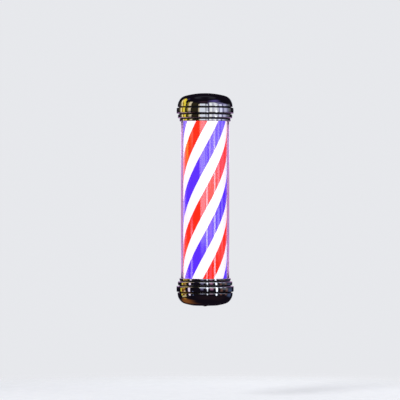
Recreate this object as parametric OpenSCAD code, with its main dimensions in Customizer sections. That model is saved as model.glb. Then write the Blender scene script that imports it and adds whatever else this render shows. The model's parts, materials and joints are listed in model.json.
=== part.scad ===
// Wall-hung lit barber pole: a clear tube between two chromed caps, with a striped drum that turns inside it.
// Millimetres. The wall is the plane y = 0, +Z is up, and z = 0 is the middle of the pole's height.
// Most modules draw the upper end, and the lower end is its mirror image.

/* [Overall] */
// Height of the pole, from the lower cap nut to the top of the dome
pole_h = 660; // [600:1:760]
// Distance from the pole's axis to the wall
axis_to_wall = 120; // [112:1:150]

/* [End caps] */
// Thickness of the caps' spun metal
cap_wall = 1.2; // [0.8:0.1:1.4]
// How far the foot of the dome stands out beyond the clear tube
dome_overhang = 10.5; // [9:0.1:15]
// Height of the dome
dome_h = 42.5; // [40:0.5:50]
// Radius of the dome's shoulder
dome_shoulder_r = 33; // [28:0.5:34]
// How far the large band, beside the dome, stands out beyond the tube
large_band_overhang = 13.8; // [12:0.1:18]
// Height of the large band
large_band_h = 17.5; // [15:0.5:22]
// How far the middle band stands out beyond the tube
middle_band_overhang = 9.5; // [8:0.1:14]
// Height of the middle band
middle_band_h = 11.5; // [9:0.5:14]
// How far the small band, at the cap's mouth, stands out beyond the tube
small_band_overhang = 4.5; // [4.2:0.1:8]
// Height of the small band
small_band_h = 7; // [6.5:0.5:10]
// Width of the grooves between the bands
groove_w = 3; // [2.5:0.5:4]
// Depth of the two outer grooves, below the smaller of their bands
groove_depth = 5; // [4:0.5:6]
// Rounding of the bands' edges
band_edge_r = 2.5; // [2:0.1:3]
// Radius of the slight crown across each band
band_crown_r = 90; // [60:5:200]
// Radius of the dimple that holds the top screw
dimple_r = 14; // [12:0.5:18]
// Depth of the dimple that holds the top screw
dimple_depth = 6; // [5:0.5:8]
// Radius of the recess under the lower cap
recess_r = 36; // [35:0.5:40]
// Depth of the recess under the lower cap
recess_depth = 8; // [7.5:0.5:10]

/* [Clear tube] */
// Outside diameter of the clear tube
tube_od = 150; // [135:1:168]
// Wall of the clear tube
tube_wall = 3; // [2:0.5:3.5]
// How far the tube reaches into each cap
tube_overlap = 17.5; // [17:0.5:22]
// Thickness of the rubber under the tube's ends
gasket_t = 2; // [1.5:0.5:3]

/* [Drum] */
// Space between the inside of the clear tube and the drum's sheet
drum_gap = 5; // [4:0.1:7]
// Thickness of the translucent sheet
sheet_t = 0.8; // [0.5:0.1:1.2]
// Thickness of the coloured film
film_t = 0.4; // [0.2:0.1:0.6]
// Number of red bands, and of blue ones
bands_each = 3; // [2:1:4]
// Height in which a band goes once round the drum
stripe_lead = 785; // [600:5:1000]
// Share of its place that each coloured band fills
stripe_fill = 0.5; // [0.35:0.01:0.6]
// Direction in which a red band faces at mid-height
red_bearing = -90; // [-120:0.5:-60]
// Height of a drum wheel's rim
wheel_h = 8; // [7:0.5:9]
// Radius of the wheels' hubs
wheel_hub_r = 22; // [21:0.5:24]
// Width of a wheel's rim
wheel_rim_w = 3.6; // [3:0.1:4]
// Number of spokes in each wheel
spoke_count = 5; // [3:1:8]
// Width of a spoke
spoke_w = 9; // [6:0.5:11]

/* [Drive] */
// Module of the gears' teeth
gear_module = 1.25; // [1.2:0.01:1.25]
// Teeth on the drum's gear
gear_teeth = 64; // [60:2:64]
// Teeth on the motor's pinion
pinion_teeth = 16; // [14:2:16]
// Face width of the drum's gear
gear_t = 7; // [6:0.5:7.5]
// Play between the teeth, along the pitch circle
backlash = 0.2; // [0.1:0.05:0.3]
// Diameter of the motor
motor_od = 50; // [46:1:52]
// Height of the motor
motor_h = 26; // [22:1:28]
// Distance from the motor's middle to its shaft
shaft_offset = 10; // [8:0.5:12]
// Diameter of the motor's shaft
shaft_d = 7; // [6:0.5:8]
// Distance between the motor's two screws
motor_screw_pitch = 60; // [58:1:64]

/* [Centre post] */
// Outside diameter of the post
post_od = 12; // [11:0.5:12.5]
// Diameter of the bore that the lamp wires pass through
post_bore = 8; // [7:0.1:8.5]
// Width across the flats of the post's nuts
nut_flats = 18; // [17:0.5:19]
// Height of the post's nuts
nut_h = 5; // [4:0.5:6]
// Thickness of the post's washers
washer_t = 1; // [0.8:0.1:1.5]
// Radius of the journal that the wheels run on
journal_r = 11; // [10.5:0.5:12]
// Thickness of the bushes' flanges
bush_flange_t = 3; // [2.5:0.5:3]

/* [Lamp] */
// Side of the square lamp core
core_side = 24; // [23:1:28]
// Wall of the lamp core
core_wall = 1.5; // [1:0.1:2]
// Width of a light board
board_w = 18; // [14:1:20]
// Thickness of a light board
board_t = 1.6; // [1:0.1:2]
// Light chips on each board
chips_per_board = 12; // [6:1:16]

/* [Switches] */
// Distance from the axis to each rocker switch
switch_x = 19; // [18.5:0.25:20]
// How far the switches sit in front of the axis
switch_forward = 6; // [4:0.5:7]
// Length of a switch's rim
switch_l = 21; // [20:0.5:22]
// Width of a switch's rim
switch_w = 15; // [14.5:0.1:15.5]
// Tilt of a rocker to each side
rocker_tilt = 11; // [8:0.5:12]
// Diameter of the lead that the grommet takes
lead_d = 7; // [6:0.1:8]

/* [Wall strap] */
// Width of the strap
strap_w = 45; // [42:1:48]
// Thickness of the strap
strap_t = 3; // [2:0.5:4]
// Width of a tongue beside the motor
tongue_w = 26; // [24:1:28]
// Depth of the strap's side flanges
strap_flange_d = 12; // [8:1:16]
// Distance from the axis to each bolt in the tongues
tongue_bolt_y = 28; // [26:0.5:30]
// Distance between the two keyholes
keyhole_pitch = 400; // [300:5:430]
// Radius of the keyhole's round part, for the screw's head
keyhole_head_r = 6; // [5:0.5:7]
// Half the width of the keyhole's narrow part
keyhole_neck_r = 3; // [2:0.25:3.5]
// Length of the keyhole's narrow part
keyhole_neck_l = 11; // [9:0.5:14]

/* [Hidden] */
$fn = 96;

// Heights above mid-height, from the mouth of a cap outwards
half_h = pole_h / 2;
dome_base_z = half_h - dome_h;
large_band_z = dome_base_z - groove_w - large_band_h;
middle_band_z = large_band_z - groove_w - middle_band_h;
mouth_z = middle_band_z - groove_w - small_band_h;
tube_end_z = mouth_z + tube_overlap;
plate_in_z = tube_end_z + gasket_t;
plate_t = 2;
plate_out_z = plate_in_z + plate_t;
tongue_out_z = plate_out_z + strap_t;
dimple_floor_z = half_h - dimple_depth;
recess_floor_z = half_h - recess_depth;

// Clearances
slide_gap = 0.3;
hole_gap = 0.2;
run_gap = 0.05;
overrun = 1;

// The clear tube and what it seats in
tube_r = tube_od / 2;
dome_r = tube_r + dome_overhang;
large_band_r = tube_r + large_band_overhang;
middle_band_r = tube_r + middle_band_overhang;
small_band_r = tube_r + small_band_overhang;
plate_overhang = 0.5;
plate_r = tube_r + plate_overhang;
plate_rim_h = 10;
plate_bend_r = 3;
lip_r = plate_r + slide_gap;
tube_inner_r = tube_r - tube_wall;
gasket_lip_t = 1.8;
gasket_lip_h = 4;
gasket_gap = 0.1;
gasket_inner_r = tube_inner_r - gasket_lip_t;

// Grooves: the one at the mouth clears the tube, and the others are cut to their depth
mouth_groove_gap = 0.4;
mouth_groove_r = lip_r + mouth_groove_gap + cap_wall;
middle_groove_r = middle_band_r - groove_depth;
dome_groove_r = dome_r - groove_depth;
well_edge_r = 2;

// Opening at the back of a cap, for the strap's tongue
back_gap_side = 1.5;
back_gap_w = strap_w + 2 * back_gap_side;
back_gap_z = tongue_out_z + back_gap_side;

// The post and its fasteners
post_r = post_od / 2;
post_end_gap = 2;
post_top_z = dimple_floor_z - cap_wall;
post_bottom_z = post_end_gap - half_h;
post_thread_l = 40;
wire_hole_r = 2.5;
lower_wire_hole_z = -tongue_out_z - 25;
upper_wire_hole_rise = 20;
washer_overhang = 1;
nut_chamfer = 0.8;
nut_dome_h = 2.5;
nut_crown_t = 1.5;

// Bushes, wheels and the drum
bush_flange_r = 16;
bush_spigot_r = 9;
bush_shoulder_r = 14;
flange_in_z = plate_in_z - bush_flange_t;
gear_out_z = flange_in_z - slide_gap;
gear_in_z = gear_out_z - gear_t;
gear_wheel_gap = 0.5;
wheel_out_z = gear_in_z - gear_wheel_gap;
wheel_in_z = wheel_out_z - wheel_h;
journal_over = 1;
journal_in_z = wheel_in_z - journal_over;
drum_r = tube_inner_r - drum_gap;
sheet_seat_t = 0.5;
sheet_end_z = wheel_out_z - sheet_seat_t;
rim_r = drum_r - sheet_t - run_gap;
rim_inner_r = rim_r - wheel_rim_w;
spoke_t = 4;
spoke_rib_w = 3;
spoke_rib_inset = 1;
film_gap = 0.2;
film_arc_steps = 6;
film_slices = 48;
seam_angle = 12;
seam_t = 0.5;
gear_screw_r = 16.5;
gear_screw_count = 3;
gear_screw_l = 8;
gear_screw_head_gap = 0.2;
gear_rim_modules = 4;
gear_web_recess = 2;
gear_hole_r = 4.5;
gear_hole_count = 8;

// Gear train: the pinion stands to the right of the gear
pressure_angle = 20;
profile_shift = 0.2;
flank_steps = 3;
centre_distance = gear_module * (gear_teeth + pinion_teeth) / 2;
pinion_over = 1.5;
pinion_out_z = gear_out_z + pinion_over;
motor_x = centre_distance - shaft_offset;
motor_flange_t = 1;
motor_boss_r = 5.5;
motor_ear_r = 5.5;
motor_ear_flat = 1;
motor_case_step = 0.8;
motor_case_split = 12;
shaft_r = shaft_d / 2;
shaft_flat_cut = 1;
shaft_flat = shaft_r - shaft_flat_cut;
shaft_depth = 16;

// Lamp
jam_nut_in_z = journal_in_z - nut_h;
holder_base_t = 5;
holder_socket_d = 6;
holder_wall = 3;
core_end_z = jam_nut_in_z - holder_base_t;
holder_in_z = core_end_z - holder_socket_d;
holder_corner_r = 4;
board_end_gap = 1;
board_end_z = holder_in_z - board_end_gap;
chip_side = 3.5;
chip_t = 1.2;

// Small screws: shank radius, head radius and head height
m3 = [1.5, 2.75, 2];
m5 = [2.5, 4.75, 2.2];
m5_nut_flats = 8;
m5_nut_h = 4;

// The top screw: a flange, a round head and a hexagonal socket
top_screw_r = 3;
top_screw_l = 20;
top_screw_flange_r = 8;
top_screw_flange_t = 1;
top_screw_head_r = 5.5;
top_screw_head_h = 4;
top_screw_socket = 4;
top_screw_socket_d = 2;

// Rocker switches, measured outwards from the face of the recess
switch_rim_h = 2;
switch_depth = 14;
switch_shoulder = 1.1;
switch_lip = 1.8;
switch_side_wall = 1.7;
switch_corner_r = 2;
switch_body_corner_r = 0.8;
switch_tab = [4.8, 0.8, 4];
switch_tab_pitch = 8;
cavity_l = switch_l - 2 * switch_lip;
cavity_w = switch_w - 2 * (switch_shoulder + switch_side_wall);
cavity_d = 5.2;
pivot_below_rim = 2.8;
pivot_h = switch_rim_h - pivot_below_rim;
pivot_pin_r = 1.2;
pivot_pin_l = 1.4;
rocker_end_r = cavity_l / 2 - hole_gap;
rocker_w = cavity_w - 2 * hole_gap;
rocker_front = 3;
rocker_back = 3;
rocker_corner_a = 31;

// The lead's grommet, behind the switches
grommet_back = 22;
grommet_neck_r = 6;
grommet_flange_w = 2.2;
grommet_lip_t = 1;
grommet_end_h = 2.5;

// Boxes inside the lower cap: width, depth and height, and how far each stands in from the plate's edge
driver_size = [36, 56, 20];
driver_edge_gap = 13.5;
driver_x = driver_edge_gap + driver_size[0] / 2 - plate_r;
driver_ear = 6;
driver_ear_w = 12;
driver_corner_r = 3;
terminal_size = [30, 12, 13];
terminal_edge_gap = 15.5;
terminal_y = terminal_edge_gap + terminal_size[1] / 2 - plate_r;
terminal_ways = 3;
terminal_screw_h = 4;
terminal_corner_r = 1.5;
clamp_hole_r = 2.2;
clamp_hole_d = 4;
terminal_wire_r = 1.8;

// The strap's bends, tongues and side flanges
bend_out_r = 6;
bend_steps = 6;
bend_z = tongue_out_z - bend_out_r;
tongue_root_y = -2 * bend_out_r;
tongue_motor_gap = 4;
tongue_tip_steps = 12;
flange_inset = 6;
flange_end_z = mouth_z - flange_inset;
flange_chamfer = strap_flange_d - strap_t;

chrome_colour = "#b9bcc4";
steel_colour = "#8f949b";
zinc_colour = "#b4b8b0";
rubber_colour = "#222326";
nylon_colour = "#e9e6dc";

// Points along an arc about c, from angle a0 to a1, in n equal steps
function arc(c, r, a0, a1, n) = [for (k = [0:n])
    let (a = a0 + (a1 - a0) * k / n) c + r * [cos(a), sin(a)]];
function without_first(p) = [for (k = [1:len(p) - 1]) p[k]];
function between_ends(p) = [for (k = [1:len(p) - 2]) p[k]];
function reversed(p) = [for (k = [len(p) - 1:-1:0]) p[k]];
function polar(r, a) = r * [cos(a), sin(a)];
function rounded_box(w, d, r) = concat(
    arc([w / 2 - r, d / 2 - r], r, 0, 90, 4), arc([r - w / 2, d / 2 - r], r, 90, 180, 4),
    arc([r - w / 2, r - d / 2], r, 180, 270, 4), arc([w / 2 - r, r - d / 2], r, 270, 360, 4)
);

// A band of a cap, from z0 up to z1, as a shallow crown between two rounded edges.
// inset shrinks it towards its own metal, so the same rule draws the outside and the inside.
function band_outline(r, z0, z1, edge, inset) =
    let (crown = [r - band_crown_r, (z0 + z1) / 2],
         lean = asin(((z1 - z0) / 2 - edge) / (band_crown_r - edge)),
         low = crown + polar(band_crown_r - edge, -lean),
         high = crown + polar(band_crown_r - edge, lean))
    concat(
        arc(low, edge - inset, -90, -lean, 4),
        between_ends(arc(crown, band_crown_r - inset, -lean, lean, 4)),
        arc(high, edge - inset, lean, 90, 4)
    );

function groove_outline(r, z0, z1, inset) = [[r - inset, z0 - inset], [r - inset, z1 + inset]];

// The dome: a shoulder arc and a crown arc that meet smoothly,
// then the rounded edge of the well in its middle
function dome_outline(well_r, well_floor_z, hole_r, inset) =
    let (rise = dome_h - band_edge_r,
         reach = dome_r - dome_shoulder_r,
         crown_r = (rise * rise - dome_shoulder_r * dome_shoulder_r + reach * reach)
             / (2 * (rise - dome_shoulder_r)),
         shoulder = [reach, dome_base_z + band_edge_r],
         crown = [0, half_h - crown_r],
         join = 90 - asin(reach / (crown_r - dome_shoulder_r)),
         edge_x = well_r + well_edge_r,
         edge_a = acos(edge_x / (crown_r - well_edge_r)),
         edge = crown + polar(crown_r - well_edge_r, edge_a))
    concat(
        arc([dome_r - band_edge_r, dome_base_z + band_edge_r], band_edge_r - inset, -90, 0, 4),
        without_first(arc(shoulder, dome_shoulder_r - inset, 0, join, 10)),
        without_first(arc(crown, crown_r - inset, join, edge_a, 6)),
        without_first(arc(edge, well_edge_r - inset, edge_a, 180, 4)),
        [[well_r + inset, well_floor_z - inset], [hole_r, well_floor_z - inset]]
    );

function cap_outline(well_r, well_floor_z, hole_r, inset) =
    let (mouth_edge = min(band_edge_r, 0.9 * (small_band_r - mouth_groove_r)))
    concat(
        [[lip_r, mouth_z + inset]],
        band_outline(small_band_r, mouth_z, mouth_z + small_band_h, mouth_edge, inset),
        groove_outline(mouth_groove_r, mouth_z + small_band_h, middle_band_z, inset),
        band_outline(middle_band_r, middle_band_z, middle_band_z + middle_band_h, band_edge_r, inset),
        groove_outline(middle_groove_r, middle_band_z + middle_band_h, large_band_z, inset),
        band_outline(large_band_r, large_band_z, large_band_z + large_band_h, band_edge_r, inset),
        groove_outline(dome_groove_r, large_band_z + large_band_h, dome_base_z, inset),
        dome_outline(well_r, well_floor_z, hole_r, inset)
    );

// Involute teeth. Angles are in degrees, and backlash is shared by the two gears.
function involute(a) = tan(a) * 180 / PI - a;
function half_tooth(r, pitch_r, base_r, thickness) =
    thickness / (2 * pitch_r) * 180 / PI + involute(pressure_angle) - involute(acos(min(1, base_r / r)));
function gear_outline(teeth, shift) =
    let (pitch_r = gear_module * teeth / 2,
         base_r = pitch_r * cos(pressure_angle),
         tip_r = pitch_r + gear_module * (1 + shift),
         root_r = pitch_r - gear_module * (1.25 - shift),
         start_r = max(base_r, root_r),
         thickness = gear_module * (PI / 2 + 2 * shift * tan(pressure_angle)) - backlash / 2,
         flank = [for (k = [0:flank_steps])
             let (r = start_r + (tip_r - start_r) * k / flank_steps)
             [r, half_tooth(r, pitch_r, base_r, thickness)]],
         profile = root_r < start_r ? concat([[root_r, flank[0][1]]], flank) : flank)
    [for (t = [0:teeth - 1]) each concat(
        [for (p = profile) polar(p[0], 360 * t / teeth - p[1])],
        [for (p = reversed(profile)) polar(p[0], 360 * t / teeth + p[1])]
    )];

module on_axis() { translate([0, -axis_to_wall, 0]) children(); }
module lower_end() { mirror([0, 0, 1]) children(); }
module both_ends() { children(); lower_end() children(); }

// A round bar between two heights
module bar(r, z0, z1) { translate([0, 0, z0]) cylinder(r = r, h = z1 - z0); }
module ring(outer_r, inner_r, z0, z1) {
    difference() {
        bar(outer_r, z0, z1);
        bar(inner_r, z0 - overrun, z1 + overrun);
    }
}
module hex_bar(flats, z0, z1) {
    translate([0, 0, z0]) rotate(30) cylinder(r = flats / 2 / cos(30), h = z1 - z0, $fn = 6);
}
module hex_nut(flats, bore_r, z0, z1) {
    difference() {
        hex_bar(flats, z0, z1);
        bar(bore_r, z0 - overrun, z1 + overrun);
    }
}
// A screw along +Z: its head ends at z = 0 and its shank goes on to z = l
module button_screw(size, l) {
    difference() {
        union() {
            bar(size[1], -size[2], 0);
            bar(size[0], 0, l);
        }
        hex_bar(size[0], -size[2] - overrun, -size[2] / 2);
    }
}

module cap_shell(well_r, well_floor_z, hole_r) {
    difference() {
        rotate_extrude() polygon(concat(
            cap_outline(well_r, well_floor_z, hole_r, 0),
            reversed(cap_outline(well_r, well_floor_z, hole_r, cap_wall))
        ));
        translate([-back_gap_w / 2, 0, mouth_z - overrun])
            cube([back_gap_w, large_band_r + overrun, back_gap_z - mouth_z + overrun]);
    }
}
module top_cap() {
    color(chrome_colour) on_axis() cap_shell(dimple_r, dimple_floor_z, top_screw_r + hole_gap);
}
module bottom_cap() {
    color(chrome_colour) on_axis() lower_end() difference() {
        cap_shell(recess_r, recess_floor_z, post_r + hole_gap);
        for (side = [-1, 1]) at_switch(side) translate([0, 0, -cap_wall])
            cube([switch_w - 2 * switch_shoulder + hole_gap, switch_l - 2 * switch_shoulder + hole_gap,
                4 * cap_wall], center = true);
        at_grommet() bar(grommet_neck_r + run_gap, -2 * cap_wall, cap_wall);
    }
}
module top_cap_screw() {
    color(zinc_colour) on_axis() translate([0, 0, dimple_floor_z]) mirror([0, 0, 1]) difference() {
        union() {
            bar(top_screw_flange_r, -top_screw_flange_t, 0);
            bar(top_screw_head_r, -top_screw_head_h, -top_screw_flange_t / 2);
            bar(top_screw_r, -top_screw_flange_t / 2, top_screw_l);
        }
        hex_bar(top_screw_socket, -top_screw_head_h - overrun, top_screw_socket_d - top_screw_head_h);
    }
}
module bottom_cap_nut() {
    nut_z = recess_floor_z + washer_t;
    nut_top = half_h - nut_z;
    crown_r = nut_flats / 2 - nut_chamfer;
    ball_r = (crown_r * crown_r + nut_dome_h * nut_dome_h) / (2 * nut_dome_h);
    color(chrome_colour) on_axis() lower_end() translate([0, 0, nut_z]) difference() {
        union() {
            hex_bar(nut_flats, 0, nut_top - nut_dome_h);
            intersection() {
                translate([0, 0, nut_top - ball_r]) sphere(r = ball_r);
                bar(crown_r, nut_top - nut_dome_h - overrun, nut_top + overrun);
            }
        }
        bar(post_r + run_gap, -overrun, nut_top - nut_crown_t);
    }
}

module outer_tube() {
    color("#dfe9f2", 0.35) on_axis() ring(tube_r, tube_inner_r, -tube_end_z, tube_end_z);
}
module gasket() {
    color(rubber_colour) on_axis() rotate_extrude() polygon([
        [gasket_inner_r, tube_end_z - gasket_lip_h], [tube_inner_r - gasket_gap, tube_end_z - gasket_lip_h],
        [tube_inner_r - gasket_gap, tube_end_z], [tube_r, tube_end_z],
        [tube_r, plate_in_z], [gasket_inner_r, plate_in_z]
    ]);
}
module top_gasket() { gasket(); }
module bottom_gasket() { lower_end() gasket(); }

// A dished plate with its rim turned outwards, drilled for the bush and for the tongue's bolts
module end_plate() {
    bend = [plate_r - plate_bend_r, plate_in_z + plate_bend_r];
    difference() {
        rotate_extrude() polygon(concat(
            [[bush_spigot_r + run_gap, plate_in_z]],
            arc(bend, plate_bend_r, -90, 0, 4),
            [[plate_r, plate_out_z + plate_rim_h], [plate_r - plate_t, plate_out_z + plate_rim_h]],
            arc(bend, plate_bend_r - plate_t, 0, -90, 4),
            [[bush_spigot_r + run_gap, plate_out_z]]
        ));
        for (side = [-1, 1]) translate([0, side * tongue_bolt_y, 0])
            bar(m5[0] + hole_gap, plate_in_z - overrun, plate_out_z + overrun);
        translate([-back_gap_w / 2, 0, plate_out_z])
            cube([back_gap_w, plate_r + overrun, plate_rim_h + overrun]);
    }
}
module top_plate() { color(steel_colour) on_axis() end_plate(); }
module bottom_plate() {
    color(steel_colour) on_axis() lower_end() difference() {
        end_plate();
        translate([centre_distance, 0, 0])
            bar(motor_boss_r + hole_gap, plate_in_z - overrun, plate_out_z + overrun);
        at_plate_screws() bar(m3[0] + run_gap, plate_in_z - overrun, plate_out_z + overrun);
    }
}
// The M3 screws under the lower plate, two for the motor, two for the driver and one for the terminal block
module at_plate_screws() {
    for (side = [-1, 1]) {
        translate([motor_x, side * motor_screw_pitch / 2, 0]) children();
        translate([driver_x, side * (driver_size[1] + driver_ear) / 2, 0]) children();
    }
    translate([0, terminal_y, 0]) children();
}
module fixing_screws() {
    color(zinc_colour) on_axis() lower_end() {
        for (side = [-1, 1]) {
            translate([motor_x, side * motor_screw_pitch / 2, plate_out_z + motor_flange_t])
                plate_screw(motor_flange_t);
            translate([driver_x, side * (driver_size[1] + driver_ear) / 2, plate_out_z + plate_t])
                plate_screw(plate_t);
        }
        translate([0, terminal_y, plate_out_z + terminal_screw_h]) plate_screw(terminal_screw_h);
    }
}
// A screw that comes from outside through a thickness and into the plate
module plate_screw(through) { mirror([0, 0, 1]) button_screw(m3, through + plate_t - hole_gap); }

module centre_post() {
    color(zinc_colour) on_axis() difference() {
        bar(post_r, post_bottom_z, post_top_z);
        bar(post_bore / 2, post_bottom_z - overrun, post_top_z - post_thread_l);
        bar(top_screw_r + run_gap, post_top_z - post_thread_l - overrun, post_top_z + overrun);
        translate([0, 0, lower_wire_hole_z]) rotate([0, 90, 0]) bar(wire_hole_r, 0, post_od);
        translate([0, 0, upper_wire_hole_rise - core_end_z]) rotate([90, 0, 0]) bar(wire_hole_r, 0, post_od);
    }
}
module post_nuts() {
    bore_r = post_r + run_gap;
    color(zinc_colour) on_axis() {
        both_ends() {
            hex_nut(nut_flats, bore_r, tongue_out_z + washer_t, tongue_out_z + washer_t + nut_h);
            hex_nut(nut_flats, bore_r, jam_nut_in_z, journal_in_z);
        }
        lower_end() hex_nut(nut_flats, bore_r,
            recess_floor_z - cap_wall - washer_t - nut_h, recess_floor_z - cap_wall - washer_t);
    }
}
module post_washers() {
    outer_r = nut_flats / 2 + washer_overhang;
    bore_r = post_r + run_gap;
    color(zinc_colour) on_axis() {
        both_ends() ring(outer_r, bore_r, tongue_out_z, tongue_out_z + washer_t);
        lower_end() {
            ring(outer_r, bore_r, recess_floor_z, recess_floor_z + washer_t);
            ring(outer_r, bore_r, recess_floor_z - cap_wall - washer_t, recess_floor_z - cap_wall);
        }
    }
}
// A flanged bush: a spigot in the plate, a flange against it, and a journal for the wheel
module bush(shoulder_z) {
    difference() {
        union() {
            bar(bush_spigot_r, flange_in_z, plate_out_z);
            bar(bush_flange_r, flange_in_z, plate_in_z);
            if (shoulder_z < flange_in_z) bar(bush_shoulder_r, shoulder_z, plate_in_z);
            bar(journal_r, journal_in_z, plate_in_z);
        }
        bar(post_r + run_gap, journal_in_z - overrun, plate_out_z + overrun);
    }
}
module upper_bush() { color(nylon_colour) on_axis() bush(wheel_out_z + slide_gap); }
module lower_bush() { color(nylon_colour) on_axis() lower_end() bush(flange_in_z); }

module lamp_core() {
    inner_side = core_side - 2 * core_wall;
    color("#c8ccd0") on_axis() linear_extrude(2 * core_end_z, center = true) difference() {
        polygon(rounded_box(core_side, core_side, core_wall));
        square([inner_side, inner_side], center = true);
    }
}
module core_holder() {
    side = core_side + 2 * board_t + 2 * holder_wall;
    socket = core_side + 2 * run_gap;
    difference() {
        translate([0, 0, (holder_in_z + jam_nut_in_z) / 2])
            linear_extrude(jam_nut_in_z - holder_in_z, center = true)
                polygon(rounded_box(side, side, holder_corner_r));
        translate([0, 0, core_end_z - holder_socket_d])
            cube([socket, socket, 2 * holder_socket_d], center = true);
        bar(post_r + run_gap, holder_in_z, jam_nut_in_z + overrun);
    }
}
module upper_core_holder() { color(nylon_colour) on_axis() core_holder(); }
module lower_core_holder() { color(nylon_colour) on_axis() lower_end() core_holder(); }
module lamp_board(quarter) {
    color("#e8ece6") on_axis() rotate([0, 0, 90 * quarter]) translate([0, -core_side / 2 - board_t / 2, 0])
        cube([board_w, board_t, 2 * board_end_z], center = true);
}
module lamp_board_front() { lamp_board(0); }
module lamp_board_right() { lamp_board(1); }
module lamp_board_back() { lamp_board(2); }
module lamp_board_left() { lamp_board(3); }
module lamp_chips() {
    pitch = 2 * board_end_z / chips_per_board;
    color("#fff3b0") on_axis() for (quarter = [0:3], k = [0:chips_per_board - 1])
        rotate([0, 0, 90 * quarter])
            translate([0, -core_side / 2 - board_t - chip_t / 2, (k + 0.5) * pitch - board_end_z])
                cube([chip_side, chip_t, chip_side], center = true);
}
module lamp_driver() {
    color("#d9d9d6") on_axis() lower_end() translate([driver_x, 0, plate_out_z]) difference() {
        union() {
            linear_extrude(driver_size[2])
                polygon(rounded_box(driver_size[0], driver_size[1], driver_corner_r));
            linear_extrude(plate_t)
                polygon(rounded_box(driver_ear_w, driver_size[1] + 2 * driver_ear, driver_corner_r));
        }
        for (side = [-1, 1]) translate([0, side * (driver_size[1] + driver_ear) / 2, 0])
            bar(m3[0] + run_gap, -overrun, plate_t + overrun);
    }
}
module terminal_block() {
    way = terminal_size[0] / terminal_ways;
    color("#eceae2") on_axis() lower_end() translate([0, terminal_y, plate_out_z]) difference() {
        linear_extrude(terminal_size[2])
            polygon(rounded_box(terminal_size[0], terminal_size[1], terminal_corner_r));
        bar(m3[0] + run_gap, -overrun, terminal_size[2]);
        bar(m3[1] + hole_gap, terminal_screw_h, terminal_size[2] + overrun);
        for (k = [0, terminal_ways - 1]) translate([(k + 0.5) * way - terminal_size[0] / 2, 0, 0]) {
            bar(clamp_hole_r, terminal_size[2] - clamp_hole_d, terminal_size[2] + overrun);
            translate([0, 0, terminal_size[2] / 2]) rotate([90, 0, 0])
                bar(terminal_wire_r, -terminal_size[1], terminal_size[1]);
        }
    }
}

module shaft_section(r, flat) {
    intersection() {
        circle(r = r);
        translate([-2 * r, -2 * r]) square([2 * r + flat, 4 * r]);
    }
}
module motor_body() {
    color("#a9adb2") on_axis() lower_end() difference() {
        union() {
            translate([motor_x, 0, 0]) {
                bar(motor_od / 2, plate_out_z, plate_out_z + motor_case_split);
                bar(motor_od / 2 - motor_case_step, plate_out_z, plate_out_z + motor_h);
                translate([0, 0, plate_out_z]) linear_extrude(motor_flange_t)
                    polygon(rounded_box(2 * motor_ear_r, motor_screw_pitch + 2 * motor_ear_r,
                        motor_ear_r - motor_ear_flat / 2));
            }
            translate([centre_distance, 0, 0]) bar(motor_boss_r, plate_in_z, plate_out_z + overrun);
        }
        translate([centre_distance, 0, 0])
            bar(shaft_r + run_gap, plate_in_z - overrun, plate_out_z + shaft_depth);
        for (side = [-1, 1]) translate([motor_x, side * motor_screw_pitch / 2, 0])
            bar(m3[0] + run_gap, plate_out_z - overrun, plate_out_z + motor_flange_t + overrun);
    }
}
module motor_shaft() {
    color("#c9cdd2") on_axis() lower_end() translate([centre_distance, 0, 0]) {
        bar(shaft_r, plate_in_z, plate_out_z + shaft_depth - slide_gap);
        translate([0, 0, gear_in_z]) linear_extrude(plate_in_z - gear_in_z)
            shaft_section(shaft_r, shaft_flat);
    }
}
module pinion() {
    color("#e8e2cf") on_axis() lower_end() translate([centre_distance, 0, gear_in_z])
        linear_extrude(pinion_out_z - gear_in_z) difference() {
            rotate(180 / pinion_teeth) polygon(gear_outline(pinion_teeth, profile_shift));
            shaft_section(shaft_r + run_gap / 2, shaft_flat + run_gap / 2);
        }
}
module drum_gear() {
    web_r = gear_module * (gear_teeth / 2 - gear_rim_modules);
    hole_at = (wheel_hub_r + web_r) / 2;
    color("#e8e2cf") on_axis() lower_end() difference() {
        union() {
            translate([0, 0, gear_in_z]) linear_extrude(gear_t)
                polygon(gear_outline(gear_teeth, -profile_shift));
            bar(wheel_hub_r, wheel_out_z, gear_out_z);
        }
        bar(journal_r + run_gap, wheel_out_z - overrun, gear_out_z + overrun);
        for (k = [0:gear_hole_count - 1]) rotate(360 * (k + 0.5) / gear_hole_count)
            translate([hole_at, 0, 0]) bar(gear_hole_r, gear_in_z - overrun, gear_out_z + overrun);
        ring(web_r, wheel_hub_r, gear_in_z - overrun, gear_in_z + gear_web_recess);
        ring(web_r, wheel_hub_r, gear_out_z - gear_web_recess, gear_out_z + overrun);
        at_gear_screws() {
            bar(m3[0] + run_gap, wheel_out_z - overrun, gear_out_z);
            bar(m3[1] + hole_gap, gear_out_z - m3[2] - gear_screw_head_gap, gear_out_z + overrun);
        }
    }
}
module at_gear_screws() {
    for (k = [0:gear_screw_count - 1]) rotate(360 * k / gear_screw_count + 30) translate([gear_screw_r, 0, 0])
        children();
}
module gear_screws() {
    color(zinc_colour) on_axis() lower_end() at_gear_screws()
        translate([0, 0, gear_out_z - m3[2] - gear_screw_head_gap]) mirror([0, 0, 1])
            button_screw(m3, gear_screw_l);
}

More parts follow.
